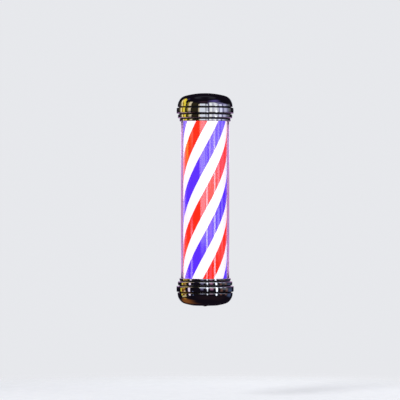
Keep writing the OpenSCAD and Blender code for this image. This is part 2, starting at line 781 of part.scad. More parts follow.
// A spoked wheel with a rim that carries the sheet and a narrow flange that the sheet's edge rests on
module wheel() {
    spoke_l = rim_inner_r - wheel_hub_r + 2;
    difference() {
        union() {
            bar(wheel_hub_r, wheel_in_z, wheel_out_z);
            ring(rim_r, rim_inner_r, wheel_in_z, wheel_out_z);
            ring(drum_r, rim_inner_r, sheet_end_z, wheel_out_z);
            for (k = [0:spoke_count - 1]) rotate(360 * k / spoke_count)
                translate([(wheel_hub_r + rim_inner_r) / 2, 0, (wheel_in_z + wheel_out_z) / 2]) {
                    cube([spoke_l, spoke_w, spoke_t], center = true);
                    cube([spoke_l, spoke_rib_w, wheel_h - 2 * spoke_rib_inset], center = true);
                }
        }
        bar(journal_r + run_gap, wheel_in_z - overrun, wheel_out_z + overrun);
    }
}
module upper_wheel() { color(nylon_colour) on_axis() wheel(); }
module lower_wheel() {
    color(nylon_colour) on_axis() lower_end() difference() {
        wheel();
        at_gear_screws() bar(m3[0] + run_gap, wheel_in_z - overrun, wheel_out_z + overrun);
    }
}
module drum_sheet() {
    color("#fdfcf8") on_axis() ring(drum_r, drum_r - sheet_t, -sheet_end_z, sheet_end_z);
}
// Bands of film that climb to the right round the sheet, shared out evenly from a bearing at mid-height
module film_bands(bearing) {
    place = 360 / bands_each;
    width = place / 2 * stripe_fill;
    inner_r = drum_r + film_gap;
    turn = 360 * 2 * sheet_end_z / stripe_lead;
    on_axis() for (k = [0:bands_each - 1])
        rotate(bearing + place * k - turn / 2) translate([0, 0, -sheet_end_z])
            linear_extrude(2 * sheet_end_z, twist = -turn, slices = film_slices, segments = film_arc_steps)
                polygon(concat(
                arc([0, 0], inner_r + film_t, -width / 2, width / 2, film_arc_steps),
                arc([0, 0], inner_r, width / 2, -width / 2, film_arc_steps)
            ));
}
module red_stripes() { color("#ff3c1e") film_bands(red_bearing); }
module blue_stripes() { color("#3a3cff") film_bands(red_bearing + 180 / bands_each); }
module seam_strip() {
    color("#f4f2ea") on_axis() translate([0, 0, slide_gap - wheel_in_z]) rotate(90 - seam_angle / 2)
        rotate_extrude(angle = seam_angle)
            translate([rim_r - seam_t, 0]) square([seam_t, 2 * (wheel_in_z - slide_gap)]);
}

// Rocker switches in the recess. Their own frame has +Z outwards and starts on the face of the recess.
module at_switch(side) { translate([side * switch_x, -switch_forward, recess_floor_z]) children(); }
module at_grommet() { translate([0, grommet_back, recess_floor_z]) children(); }
module switch_housing() {
    difference() {
        union() {
            linear_extrude(switch_rim_h) polygon(rounded_box(switch_w, switch_l, switch_corner_r));
            translate([0, 0, -switch_depth]) linear_extrude(switch_depth + switch_rim_h / 2)
                polygon(rounded_box(switch_w - 2 * switch_shoulder, switch_l - 2 * switch_shoulder,
                    switch_body_corner_r));
            for (k = [-1, 1]) translate([0, k * switch_tab_pitch / 2, -switch_depth])
                cube([switch_tab[0], switch_tab[1], 2 * switch_tab[2]], center = true);
        }
        translate([0, 0, (switch_rim_h + overrun + pivot_h - cavity_d) / 2])
            cube([cavity_w, cavity_l, switch_rim_h + overrun - pivot_h + cavity_d], center = true);
        translate([0, 0, pivot_h]) rotate([0, 90, 0]) cylinder(r = pivot_pin_r + run_gap,
            h = switch_w - 2 * switch_shoulder, center = true);
    }
}
module rocker() {
    color("#b3161b") translate([0, 0, pivot_h]) rotate([rocker_tilt, 0, 0]) {
        rotate([90, 0, 90]) linear_extrude(rocker_w, center = true) polygon(concat(
            arc([0, 0], rocker_end_r, -asin(rocker_back / rocker_end_r), rocker_corner_a, 4),
            [[0, rocker_front]],
            arc([0, 0], rocker_end_r, 180 - rocker_corner_a, 180 + asin(rocker_back / rocker_end_r), 4)
        ));
        rotate([0, 90, 0]) cylinder(r = pivot_pin_r, h = cavity_w + 2 * pivot_pin_l, center = true);
    }
}
module light_switch() { color("#18191b") on_axis() lower_end() at_switch(1) switch_housing(); }
module motor_switch() { color("#18191b") on_axis() lower_end() at_switch(-1) switch_housing(); }
module light_rocker() { on_axis() lower_end() at_switch(1) rocker(); }
module motor_rocker() { on_axis() lower_end() at_switch(-1) rocker(); }
module cable_grommet() {
    bore_r = lead_d / 2;
    flange_r = grommet_neck_r + grommet_flange_w;
    color(rubber_colour) on_axis() lower_end() at_grommet() rotate_extrude() polygon([
        [bore_r, -cap_wall - grommet_end_h], [grommet_neck_r + grommet_lip_t, -cap_wall - grommet_end_h],
        [flange_r, -cap_wall], [grommet_neck_r, -cap_wall], [grommet_neck_r, 0], [flange_r, 0],
        [flange_r, grommet_lip_t], [grommet_neck_r, grommet_end_h], [bore_r, grommet_end_h]
    ]);
}

// The wall strap: one bent length of steel, with a tongue at each end and a flange along each side
function bend_outline(z, r, a0, a1) = arc([-bend_out_r, z], r, a0, a1, bend_steps);
function strap_profile() = concat(
    [[tongue_root_y, -plate_out_z], [tongue_root_y, -tongue_out_z]],
    bend_outline(-bend_z, bend_out_r, -90, 0), bend_outline(bend_z, bend_out_r, 0, 90),
    [[tongue_root_y, tongue_out_z], [tongue_root_y, plate_out_z]],
    bend_outline(bend_z, bend_out_r - strap_t, 90, 0), bend_outline(-bend_z, bend_out_r - strap_t, 0, -90)
);
function tongue_outline() =
    let (half = strap_w / 2, neck = tongue_w / 2,
         root_y = tongue_root_y + strap_t,
         neck_y = motor_od / 2 + tongue_motor_gap - axis_to_wall,
         shoulder_y = neck_y + half - neck,
         tip = [0, -axis_to_wall - tongue_bolt_y])
    concat(
        [[half, root_y], [half, shoulder_y], [neck, neck_y]],
        arc(tip, neck, 0, -180, tongue_tip_steps),
        [[-neck, neck_y], [-half, shoulder_y], [-half, root_y]]
    );
module rear_bracket() {
    color("#3b3f45") difference() {
        union() {
            rotate([90, 0, 90]) linear_extrude(strap_w, center = true) polygon(strap_profile());
            both_ends() translate([0, 0, plate_out_z]) linear_extrude(strap_t) polygon(tongue_outline());
            for (side = [-1, 1]) translate([side * (strap_w - strap_t) / 2, 0, 0]) rotate([90, 0, 90])
                linear_extrude(strap_t, center = true) polygon([
                    [-overrun, -flange_end_z], [-strap_t, -flange_end_z],
                    [-strap_flange_d, flange_chamfer - flange_end_z],
                    [-strap_flange_d, flange_end_z - flange_chamfer],
                    [-strap_t, flange_end_z], [-overrun, flange_end_z]
                ]);
        }
        both_ends() on_axis() {
            bar(post_r + hole_gap, plate_out_z - overrun, tongue_out_z + overrun);
            for (side = [-1, 1]) translate([0, side * tongue_bolt_y, 0])
                bar(m5[0] + hole_gap, plate_out_z - overrun, tongue_out_z + overrun);
        }
        for (side = [-1, 1]) translate([0, overrun, side * keyhole_pitch / 2])
            rotate([90, 0, 0]) linear_extrude(strap_t + 2 * overrun) keyhole();
    }
}
module keyhole() {
    circle(r = keyhole_head_r);
    translate([-keyhole_neck_r, 0]) square([2 * keyhole_neck_r, keyhole_neck_l]);
    translate([0, keyhole_neck_l]) circle(r = keyhole_neck_r);
}
module bracket_bolts() {
    color(zinc_colour) on_axis() both_ends() for (side = [-1, 1])
        translate([0, side * tongue_bolt_y, plate_in_z]) button_screw(m5, plate_t + strap_t + m5_nut_h + 0.5);
}
module bracket_nuts() {
    color(zinc_colour) on_axis() both_ends() for (side = [-1, 1])
        translate([0, side * tongue_bolt_y, 0])
            hex_nut(m5_nut_flats, m5[0] + run_gap, tongue_out_z, tongue_out_z + m5_nut_h);
}

rear_bracket();
bracket_bolts();
bracket_nuts();
bottom_cap();
top_cap();
top_cap_screw();
bottom_cap_nut();
cable_grommet();
outer_tube();
bottom_gasket();
top_gasket();
bottom_plate();
top_plate();
centre_post();
post_nuts();
post_washers();
lower_bush();
upper_bush();
lamp_core();
lower_core_holder();
upper_core_holder();
lamp_board_front();
lamp_board_right();
lamp_board_back();
lamp_board_left();
lamp_chips();
lamp_driver();
terminal_block();
fixing_screws();
motor_body();
motor_shaft();
pinion();
light_switch();
motor_switch();
light_rocker();
motor_rocker();
drum_sheet();
red_stripes();
blue_stripes();
seam_strip();
lower_wheel();
upper_wheel();
drum_gear();
gear_screws();
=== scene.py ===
"""Looks of a lit barber pole that hangs by a strap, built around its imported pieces.

A clear tube stands between two spun and chromed caps, and a lit drum with red and blue
bands of film turns inside it. Metres, +Z up, with the pole's front towards -Y.
"""

import json
import math

import bpy
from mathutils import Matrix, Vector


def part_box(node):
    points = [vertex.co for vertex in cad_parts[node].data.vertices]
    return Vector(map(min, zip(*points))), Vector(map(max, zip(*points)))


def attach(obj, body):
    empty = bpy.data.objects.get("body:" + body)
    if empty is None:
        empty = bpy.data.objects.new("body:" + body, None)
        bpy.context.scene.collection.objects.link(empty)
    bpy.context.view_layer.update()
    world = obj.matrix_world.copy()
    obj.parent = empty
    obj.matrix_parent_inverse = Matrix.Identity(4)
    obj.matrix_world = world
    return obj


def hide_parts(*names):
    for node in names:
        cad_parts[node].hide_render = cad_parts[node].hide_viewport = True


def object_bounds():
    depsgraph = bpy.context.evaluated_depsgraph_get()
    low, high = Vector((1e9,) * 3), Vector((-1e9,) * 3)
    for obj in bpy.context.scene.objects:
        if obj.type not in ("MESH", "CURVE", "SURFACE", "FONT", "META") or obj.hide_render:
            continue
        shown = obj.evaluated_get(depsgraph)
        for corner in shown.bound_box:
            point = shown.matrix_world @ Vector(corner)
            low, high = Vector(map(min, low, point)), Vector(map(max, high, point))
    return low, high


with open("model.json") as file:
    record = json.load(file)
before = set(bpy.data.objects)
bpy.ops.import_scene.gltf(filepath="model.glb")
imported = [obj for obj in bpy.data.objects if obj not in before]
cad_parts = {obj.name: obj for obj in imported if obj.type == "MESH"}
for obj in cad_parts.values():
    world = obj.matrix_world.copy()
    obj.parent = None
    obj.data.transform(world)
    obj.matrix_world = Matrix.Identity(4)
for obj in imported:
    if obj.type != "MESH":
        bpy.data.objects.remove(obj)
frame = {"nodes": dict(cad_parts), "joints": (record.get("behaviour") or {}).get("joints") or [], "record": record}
cad_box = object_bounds()

bl_info = {
    "name": "Barber Pole",
    "version": (1, 0, 0),
    "blender": (4, 5, 0),
    "location": "3D View > Sidebar > Barber Pole",
    "description": "Dresses a lit barber pole: chromed caps, clear tube, striped drum and its drive",
    "category": "Object",
}

MM = 0.001

# Places that the frame gives. The domes' crowns would reach CROWN_Z without the dimple and the recess.
TUBE_LOW, TUBE_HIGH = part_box("outer_tube")
AXIS_Y = (TUBE_LOW.y + TUBE_HIGH.y) / 2
TUBE_R = TUBE_HIGH.x
TUBE_END_Z = TUBE_HIGH.z
DRUM_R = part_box("drum_sheet")[1].x
SHEET_END_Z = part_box("drum_sheet")[1].z
MOUTH_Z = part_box("top_cap")[0].z
CROWN_Z = -cad_box[0].z

# The material slot of each node, and the record's colour for each slot
SLOT_OF = {name: node.data.materials[0].name for name, node in frame["nodes"].items()}
COLOUR_OF = {m["slot"]: (*m["base_color"][:3], 1.0) for m in frame["record"]["materials"]}

# How finely round shapes are drawn
COLUMNS = 192
EDGE_STEPS = 8
CROWN_STEPS = 8
SHOULDER_STEPS = 28
DOME_STEPS = 16
FILM_ROWS = 160
FILM_ACROSS = 12
CARD_STEPS = 32
MARK_STEPS = 32
BAR_SIDES = 64

# Where smooth shading breaks, how a solid's edges are found and rounded off, and how wide the strap's and
# the small parts' rounded edges are
SHARP_ANGLE = math.radians(32)
FLAT_ANGLE = math.radians(0.5)
WELD_GAP = 0.002 * MM
BEVEL_STEPS = 3
BEVEL_SAMPLES = 4
STRAP_EDGE = 0.4 * MM
SMALL_EDGE = 0.3 * MM

# The most that the smallest band's edges take of its step down to the groove beside it
MOUTH_EDGE_SHARE = 0.9

# Openings cut into the caps: from a switch's rim in to the hole for its body, the grommet's hole, and how
# far the cutters reach past the metal
SWITCH_SHOULDER = 1 * MM
GROMMET_HOLE_R = 6.05 * MM
RECESS_OVERRUN = 5 * MM
MOUTH_OVERRUN = 1 * MM

# Where the edges of the drum's sheet meet, in degrees round the axis
SEAM_BEARING = 90

# A rocker from its pivot: out to its corner, the slope of that line, and out to its middle
ROCKER_REACH = 8.5 * MM
ROCKER_SLOPE = math.radians(31)
ROCKER_MIDDLE = 3 * MM

# Nearly all values of a noise lie between these
NOISE_LOW = 0.3
NOISE_HIGH = 0.7

# Colours that painted shade in the grooves, wear, dust and light bring to the record's own
# Painted shade: the black in the grooves stands in for the shade inside them, and dust settles over it
GROOVE_SHADE_BLACK = (0.008, 0.008, 0.009, 1.0)
DUST_ON_GROOVE_SHADE = (0.16, 0.15, 0.14, 1.0)
DUST_ON_PLASTIC = (0.42, 0.40, 0.37, 1.0)
DUST_ON_PAINT = (0.36, 0.34, 0.31, 1.0)
BARE_STEEL = (0.24, 0.24, 0.25, 1.0)
BRIGHT_EDGE = (0.82, 0.82, 0.82, 1.0)
PLATING_CAST = (0.62, 0.60, 0.52, 1.0)
PALE_CRYSTAL = (0.64, 0.66, 0.68, 1.0)
PHOSPHOR = (1.0, 0.93, 0.75, 1.0)
PHOSPHOR_SPECK = (1.0, 0.85, 0.5, 1.0)
FLOOR_GREY = (0.83, 0.84, 0.87, 1.0)
FLOOR_PALE = (0.86, 0.87, 0.90, 1.0)

# The floor starts to fade at the first of these shares of its radius, and is gone at the second
FLOOR_FADE = (0.5, 0.98)

# Each lamp's name, its place from the axis at mid-height, its width in metres and its power in watts
LAMPS = (
    ("key_lamp", (-2.2, -3.0, 2.2), 1.6, 95),
    ("fill_lamp", (2.6, -2.6, 0.8), 2.0, 45),
    ("back_lamp", (1.4, 3.0, 1.8), 1.8, 60),
)

# The photograph's frame: its size in pixels, and where the pole stands in it
PHOTO_SIDE = 400
POLE_PIXELS = 213.2
POLE_X = 205.1
POLE_Y = 199.8

# Cards of light on a sphere round the pole, which its chrome and its tube reflect. Each has rows from
# its foot to its head, in degrees: the height over the pole's middle, then the left and right side as
# measured from the camera, positive to the right. Light adds up where cards overlap.
WHITE = (0.95, 1.0, 1.12)
PEARL = (0.98, 1.02, 0.88)
WARM = (1.0, 0.84, 0.52)
GOLD = (1.0, 0.84, 0.36)
YELLOW = (1.0, 0.80, 0.06)
ORANGE = (1.0, 0.58, 0.04)
AMBER = (1.0, 0.32, 0.04)
LAVENDER = (0.66, 0.60, 1.15)
VIOLET = (0.36, 0.26, 1.0)
PINK = (1.0, 0.46, 0.80)
ORCHID = (0.92, 0.46, 1.0)
ROSE = (1.0, 0.76, 0.94)
BROWN = (1.0, 0.42, 0.28)
BLUE = (0.40, 0.60, 1.20)
CARDS = (
    # name, rows, softness, colour, strength
    ("left_dusk", ((0, -132, -114), (20, -134, -116), (30, -150, -130)), 0.45, WARM, 0.18),
    ("left_pale_gold", ((2, -116, -105), (20, -116, -105), (48, -144, -125)), 0.25, GOLD, 1.45),
    ("left_orange", ((2, -108, -99), (24, -108, -99), (50, -140, -118)), 0.1, ORANGE, 0.52),
    ("left_yellow", ((3, -99.5, -86.5), (26, -100, -86), (52, -136, -106)), 0.08, YELLOW, 1.25),
    ("left_dull_cream", ((3, -77.5, -69), (42, -82, -69)), 0.2, YELLOW, 0.45),
    ("left_cream", ((3, -72, -58), (30, -72, -57), (44, -72, -55)), 0.2, WARM, 1.1),
    ("left_olive", ((2, -56, -30), (38, -58, -30)), 0.1, YELLOW, 0.03),
    ("high_blue", ((50, -118, -96), (60, -118, -96)), 0.4, VIOLET, 0.22),
    ("front_cream", ((-2, -29, -20), (27, -28, -20)), 0.25, WARM, 0.8),
    ("front_left", ((-7, -23.5, 4), (29, -23, 2)), 0.1, WHITE, 1.2),
    ("front", ((-12, 3, 13), (28, 3, 12)), 0.15, WHITE, 0.9),
    ("front_link", ((-8, 1, 20), (4.5, 1, 20)), 0.3, WHITE, 0.8),
    ("haze", ((0, 8, 110), (20, 8, 110), (40, 8, 62)), 0.12, LAVENDER, 0.36),
    ("front_right", ((-8, 17, 57), (24, 17, 58), (40, 17, 40)), 0.06, PEARL, 0.58),
    ("front_right_column", ((0, 16, 28), (36, 16, 28)), 0.12, PEARL, 0.68),
    ("right_column", ((2, 36, 49.5), (34, 36, 49.5)), 0.15, PEARL, 0.5),
    ("right_pale", ((-8, 59, 73), (24, 59, 73)), 0.12, WHITE, 1.05),
    ("right_middle", ((-8, 80, 95), (5, 80, 95)), 0.3, WHITE, 0.6),
    ("right_grey", ((3, 76, 98), (23, 76, 98)), 0.3, WHITE, 0.55),
    ("right_dusk", ((3, 90, 130), (23, 90, 130)), 0.4, WHITE, 0.2),
    ("high_haze", ((34, 4, 84), (66, 10, 90)), 0.5, VIOLET, 0.42),
    ("high_dusk", ((30, -40, 20), (56, -40, 30)), 0.5, PINK, 0.05),
    ("low_yellow", ((-21, -115, -106.5), (-6.5, -115, -105.5)), 0.15, YELLOW, 1.15),
    ("low_orange", ((-21, -106, -83), (-3, -105, -83)), 0.2, AMBER, 0.3),
    ("low_gold", ((-11, -108, -84), (-5, -108, -84)), 0.25, YELLOW, 0.35),
    ("low_tan", ((-22, -96, -82), (-12, -92, -84)), 0.3, WARM, 0.75),
    ("low_arch", ((-30, -119, -82), (-25, -117, -80), (-20, -106, -88)), 0.2, GOLD, 0.9),
    ("low_left_strip", ((-24, -70, -62), (-2, -72, -61)), 0.12, WHITE, 1.0),
    ("low_left_glow", ((-24, -72, -60), (2, -76, -60)), 0.2, PINK, 0.4),
    ("low_blue", ((-23, -54, -46), (-15, -54, -47)), 0.3, BLUE, 0.35),
    ("low_lavender", ((-15, -20, -4), (0, -22, -3)), 0.35, LAVENDER, 0.3),
    ("low_front_strip", ((-21, 8, 11), (4, 4.5, 13)), 0.15, WHITE, 1.3),
    ("low_pink", ((-15, 17, 35), (2, 14, 37)), 0.35, PINK, 0.5),
    ("right_strip", ((-27, 45, 52), (-8, 42, 52), (11, 42, 48)), 0.2, WHITE, 2.3),
    ("low_brown", ((-22, 60, 77), (-6, 61, 76)), 0.35, BROWN, 0.2),
    ("low_right_brown", ((-22, 86, 106), (-6, 87, 105)), 0.35, BROWN, 0.16),
    ("low_grey", ((-14, 60, 112), (-3, 60, 112)), 0.4, WHITE, 0.14),
    ("low_right_blue", ((-30, 96, 140), (-3, 96, 146)), 0.4, BLUE, 0.17),
    ("low_dusk", ((-70, -60, 120), (-20, -60, 120)), 0.3, BROWN, 0.010),
    ("low_glow", ((-74, -178, -50), (-45, -178, -80), (-28, -178, -90)), 0.4, AMBER, 0.3),
    ("low_flare", ((-48, -118, -92), (-30, -122, -96)), 0.4, ORANGE, 0.3),
    ("back_left", ((2, -172, -160), (22, -172, -160)), 0.2, WHITE, 1.0),
    ("back_right", ((2, 160, 172), (22, 160, 172)), 0.2, WHITE, 1.0),
    ("low_back_left", ((-22, -172, -162), (-4, -172, -162)), 0.2, WHITE, 0.7),
    ("low_back_right", ((-22, 162, 172), (-4, 162, 172)), 0.2, WHITE, 0.7),
    ("overhead", ((66, 0, 360), (84, 0, 360)), 0.3, WHITE, 0.03),
)

# Cards close to the pole, beside and behind it, which give the tube's edges their glow
NEAR_CARDS = (
    ("left_side_glow", ((-45, -180, -118), (45, -180, -118)), 0.06, ORCHID, 0.6),
    ("left_side_veil", ((-45, -121, -98), (45, -121, -98)), 0.4, ROSE, 1.2),
    ("right_side_glow", ((-45, 118, 166), (45, 118, 166)), 0.06, ORCHID, 0.6),
)


def length_prop(name, description, default, precision=4):
    """A property for a length."""
    return bpy.props.FloatProperty(
        name=name, description=description, default=default, unit="LENGTH", precision=precision)


def lengths_prop(name, description, *default):
    """A property for some lengths that belong together."""
    return bpy.props.FloatVectorProperty(
        name=name, description=description, default=default, size=len(default), unit="LENGTH", precision=4)


def angle_prop(name, description, default):
    """A property for an angle."""
    return bpy.props.FloatProperty(name=name, description=description, default=default, unit="ROTATION")


def colour_prop(name, description, *default):
    """A property for a colour."""
    return bpy.props.FloatVectorProperty(
        name=name, description=description, default=default, subtype="COLOR")


class CapSizes(bpy.types.PropertyGroup):
    """The outline of the two spun caps"""

    wall: length_prop("Wall", "Thickness of the spun metal", 1.2 * MM)
    dome_height: length_prop("Dome height", "Height of the dome above its groove", 42.5 * MM)
    dome_overhang: length_prop(
        "Dome overhang", "How far the dome's foot stands out beyond the tube", 10.5 * MM)
    shoulder: length_prop("Shoulder", "Radius of the dome's shoulder", 33 * MM)
    large_band: lengths_prop("Large band", "Overhang beyond the tube, and height", 13.8 * MM, 17.5 * MM)
    middle_band: lengths_prop("Middle band", "Overhang beyond the tube, and height", 9.5 * MM, 11.5 * MM)
    small_band: lengths_prop("Small band", "Overhang beyond the tube, and height", 4.5 * MM, 7 * MM)
    groove_width: length_prop("Groove width", "Width of the grooves between the bands", 3 * MM)
    groove_depth: length_prop("Groove depth", "Depth of the two outer grooves", 5 * MM)
    lip_gap: length_prop("Lip gap", "Space between the tube and the cap's lip", 0.8 * MM)
    mouth_groove_gap: length_prop(
        "Mouth groove gap", "From the lip to the inside of the groove beside it", 0.4 * MM)
    edge: length_prop("Edge", "Rounding of the bands' edges", 2.5 * MM)
    dome_edge: length_prop("Dome edge", "Rounding at the dome's foot", 1.3 * MM)
    crown: length_prop("Crown", "Radius of the slight crown across each band", 90 * MM)
    well_edge: length_prop("Well edge", "Rounding where the dome turns down into its well", 2 * MM)
    well_foot: length_prop("Well foot", "Rounding where the well's wall meets its floor", 1.2 * MM)
    dimple: lengths_prop(
        "Dimple", "Radius and depth of the dimple in the top cap, and its hole's radius",
        14 * MM, 6 * MM, 3.2 * MM)
    recess: lengths_prop(
        "Recess", "Radius and depth of the lower cap's recess, and its hole's radius",
        36 * MM, 8 * MM, 6.2 * MM)
    back_gap: lengths_prop(
        "Back gap", "Width of the opening for the strap's tongue, and its height", 48 * MM, 26 * MM)


class TubeSizes(bpy.types.PropertyGroup):
    """The clear tube"""

    wall: length_prop("Wall", "Thickness of the tube", 3 * MM)
    chamfer: length_prop("Chamfer", "Polished chamfer at the tube's ends", 0.4 * MM)
    # Painted glow: the tint and its density give the tube's edges a pink glow, which stands in for pink light that
    # the edges carry; the clear plastic has no such colour
    tint: colour_prop("Tint", "Colour that a long way through the plastic leaves", 0.80, 0.30, 0.86)
    density: bpy.props.FloatProperty(
        name="Density", description="How strongly the plastic tints the light, per metre", default=60.0)


class DrumLook(bpy.types.PropertyGroup):
    """The lit drum and its bands of film, which glow with painted light"""

    sheet: length_prop("Sheet", "Thickness of the translucent sheet", 0.8 * MM)
    seam: length_prop("Seam", "Space between the sheet's edges where they meet", 0.2 * MM)
    film: length_prop("Film", "Thickness of the coloured film", 0.4 * MM)
    film_gap: length_prop("Film gap", "Height of the film's adhesive over the sheet", 0.2 * MM)
    bands: bpy.props.IntProperty(
        name="Bands", description="Number of red bands, and of blue ones", default=3, min=1)
    lead: length_prop("Lead", "Height in which a band goes once round", 0.785)
    fill: bpy.props.FloatProperty(
        name="Fill", description="Share of its place that each band fills", default=0.5, min=0.1, max=0.9)
    bearing: angle_prop("Bearing", "Direction in which a red band faces at mid-height", math.radians(-90))
    # White, red, blue and glow are painted light: the sheet and the films give out light themselves, in place of
    # the lamp inside shining through them
    white: colour_prop("White", "Light that comes through the bare sheet", 1.0, 1.0, 0.985)
    red: colour_prop("Red", "Light that comes through the red film", 1.0, 0.026, 0.008)
    blue: colour_prop("Blue", "Light that comes through the blue film", 0.10, 0.030, 0.97)
    glow: bpy.props.FloatProperty(
        name="Glow", description="Strength of the light through the drum", default=1.22, min=0)


class ChromeLook(bpy.types.PropertyGroup):
    """The caps' finish"""

    colour: colour_prop("Colour", "Share of the light that the chrome reflects", 0.549, 0.556, 0.566)
    roughness: bpy.props.FloatProperty(
        name="Roughness", description="Roughness of the clean chrome", default=0.035, min=0, max=1)
    smudged: bpy.props.FloatProperty(
        name="Smudged", description="Roughness where fingers have smudged it", default=0.12, min=0, max=1)
    wave: length_prop("Wave", "Depth of the slight waves that spinning leaves", 0.03 * MM, precision=6)


class RockerSizes(bpy.types.PropertyGroup):
    """The rockers' sloping halves, and the marks set on them"""

    tilt: angle_prop("Tilt", "How far each rocker leans at rest", math.radians(11))
    lean: angle_prop(
        "Lean", "Slope of each half, from the middle up to its end",
        math.atan2(ROCKER_REACH * math.sin(ROCKER_SLOPE) - ROCKER_MIDDLE,
                   ROCKER_REACH * math.cos(ROCKER_SLOPE)))
    middle: length_prop("Middle", "From the pivot out to the line where the halves meet", ROCKER_MIDDLE)
    mark_place: length_prop("Mark place", "From that line to the middle of a mark", 4.2 * MM)
    mark_length: length_prop("Mark length", "Length of the bar, and the ring's diameter", 3.4 * MM)
    mark_width: length_prop("Mark width", "Width of the marks' strokes", 0.6 * MM)
    mark_height: length_prop("Mark height", "Height of the marks over the rocker", 0.05 * MM, precision=5)
    mark_gap: length_prop("Mark gap", "Film of glue below the marks", 0.01 * MM, precision=5)


class StudioLook(bpy.types.PropertyGroup):
    """The camera, the floor, the lamps and what the chrome reflects"""

    camera_distance: length_prop("Camera distance", "From the camera to the pole's axis", 9.0)
    sensor: bpy.props.FloatProperty(
        name="Sensor", description="Width of the camera's sensor, in millimetres", default=36.0)
    background: colour_prop("Background", "Colour behind the pole", 0.80, 0.81, 0.84)
    ambient: bpy.props.FloatProperty(
        name="Ambient", description="Strength of the soft light from all sides", default=0.6, min=0)
    floor_drop: length_prop("Floor drop", "From mid-height of the pole down to the floor", 0.62)
    floor_radius: length_prop("Floor radius", "Where the floor has faded away", 1.5)
    card_radius: length_prop("Card radius", "From the pole's axis to the reflected cards", 1.6)
    near_radius: length_prop("Near radius", "From the pole's axis to the cards close to it", 0.35)
    card_step: length_prop("Card step", "How far each card stands behind the one before", 4 * MM)
    dark_radius: length_prop("Dark radius", "From the pole to the dark sphere round the cards", 2.2)
    dark_colour: colour_prop(
        "Dark colour", "The little light that the dark sphere gives back", 0.010, 0.007, 0.013)
    card_glow: bpy.props.FloatProperty(
        name="Card glow", description="How strongly the cards shine", default=1.0, min=0)


def arc(centre, radius, start, end, steps):
    """Points along an arc about centre. The angles are in degrees."""
    found = []
    for k in range(steps + 1):
        a = math.radians(start + (end - start) * k / steps)
        found.append((centre[0] + radius * math.cos(a), centre[1] + radius * math.sin(a)))
    return found


def new_piece(name, points, faces, materials, face_materials=None):
    """A mesh object with smooth shading that breaks at its sharp edges."""
    mesh = bpy.data.meshes.new(name)
    mesh.from_pydata(points, [], faces)
    for material in materials:
        mesh.materials.append(material)
    if face_materials:
        mesh.polygons.foreach_set("material_index", face_materials)
    mesh.shade_smooth()
    mesh.set_sharp_from_angle(angle=SHARP_ANGLE)
    mesh.update()
    piece = bpy.data.objects.new(name, mesh)
    bpy.context.scene.collection.objects.link(piece)
    return piece


def put_in_place(piece, body, slot, *nodes):
    """Lets a new piece ride on a body and stand for CAD nodes, which it hides. The slot is not used."""
    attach(piece, body)
    if nodes:
        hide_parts(*nodes)


def spin(outline, upside_down=False):
    """Points and faces of a closed outline of (radius, height) spun about the pole's axis.

    The outline runs clockwise, with the radius to the right and the height up."""
    points = []
    for k in range(COLUMNS):
        a = 2 * math.pi * k / COLUMNS
        for radius, height in outline:
            z = -height if upside_down else height
            points.append((radius * math.cos(a), AXIS_Y + radius * math.sin(a), z))
    count = len(outline)
    faces = []
    for k in range(COLUMNS):
        here = k * count
        there = (k + 1) % COLUMNS * count
        for i in range(count):
            j = (i + 1) % count
            face = (here + i, there + i, there + j, here + j)
            faces.append(face[::-1] if upside_down else face)
    return points, faces


def box_cutter(low, high):
    """A box between two corners, to cut an opening with."""
    points = [(x, y, z) for x in (low[0], high[0]) for y in (low[1], high[1]) for z in (low[2], high[2])]
    faces = [(0, 1, 3, 2), (4, 6, 7, 5), (0, 4, 5, 1), (2, 3, 7, 6), (0, 2, 6, 4), (1, 5, 7, 3)]
    return new_piece("cutter", points, faces, [])


def bar_cutter(centre, radius, z0, z1):
    """A round bar along Z, to cut an opening with."""
    ring = arc(centre, radius, 0, 360, BAR_SIDES)[:-1]
    points = [(x, y, z) for z in (z0, z1) for x, y in ring]
    faces = []
    for k in range(BAR_SIDES):
        beside = (k + 1) % BAR_SIDES
        faces.append((k, beside, BAR_SIDES + beside, BAR_SIDES + k))
    faces.append(tuple(reversed(range(BAR_SIDES))))
    faces.append(tuple(range(BAR_SIDES, 2 * BAR_SIDES)))
    return new_piece("cutter", points, faces, [])


def cut(piece, cutters):
    """Cuts the cutters out of the piece for good, and removes them."""
    for cutter in cutters:
        step = piece.modifiers.new("opening", "BOOLEAN")
        step.operation = "DIFFERENCE"
        step.solver = "EXACT"
        step.material_mode = "TRANSFER"
        step.object = cutter
    bpy.context.view_layer.update()
    graph = bpy.context.evaluated_depsgraph_get()
    mesh = bpy.data.meshes.new_from_object(piece.evaluated_get(graph))
    mesh.shade_smooth()
    mesh.set_sharp_from_angle(angle=SHARP_ANGLE)
    piece.modifiers.clear()
    piece.data = mesh
    for cutter in cutters:
        bpy.data.objects.remove(cutter)


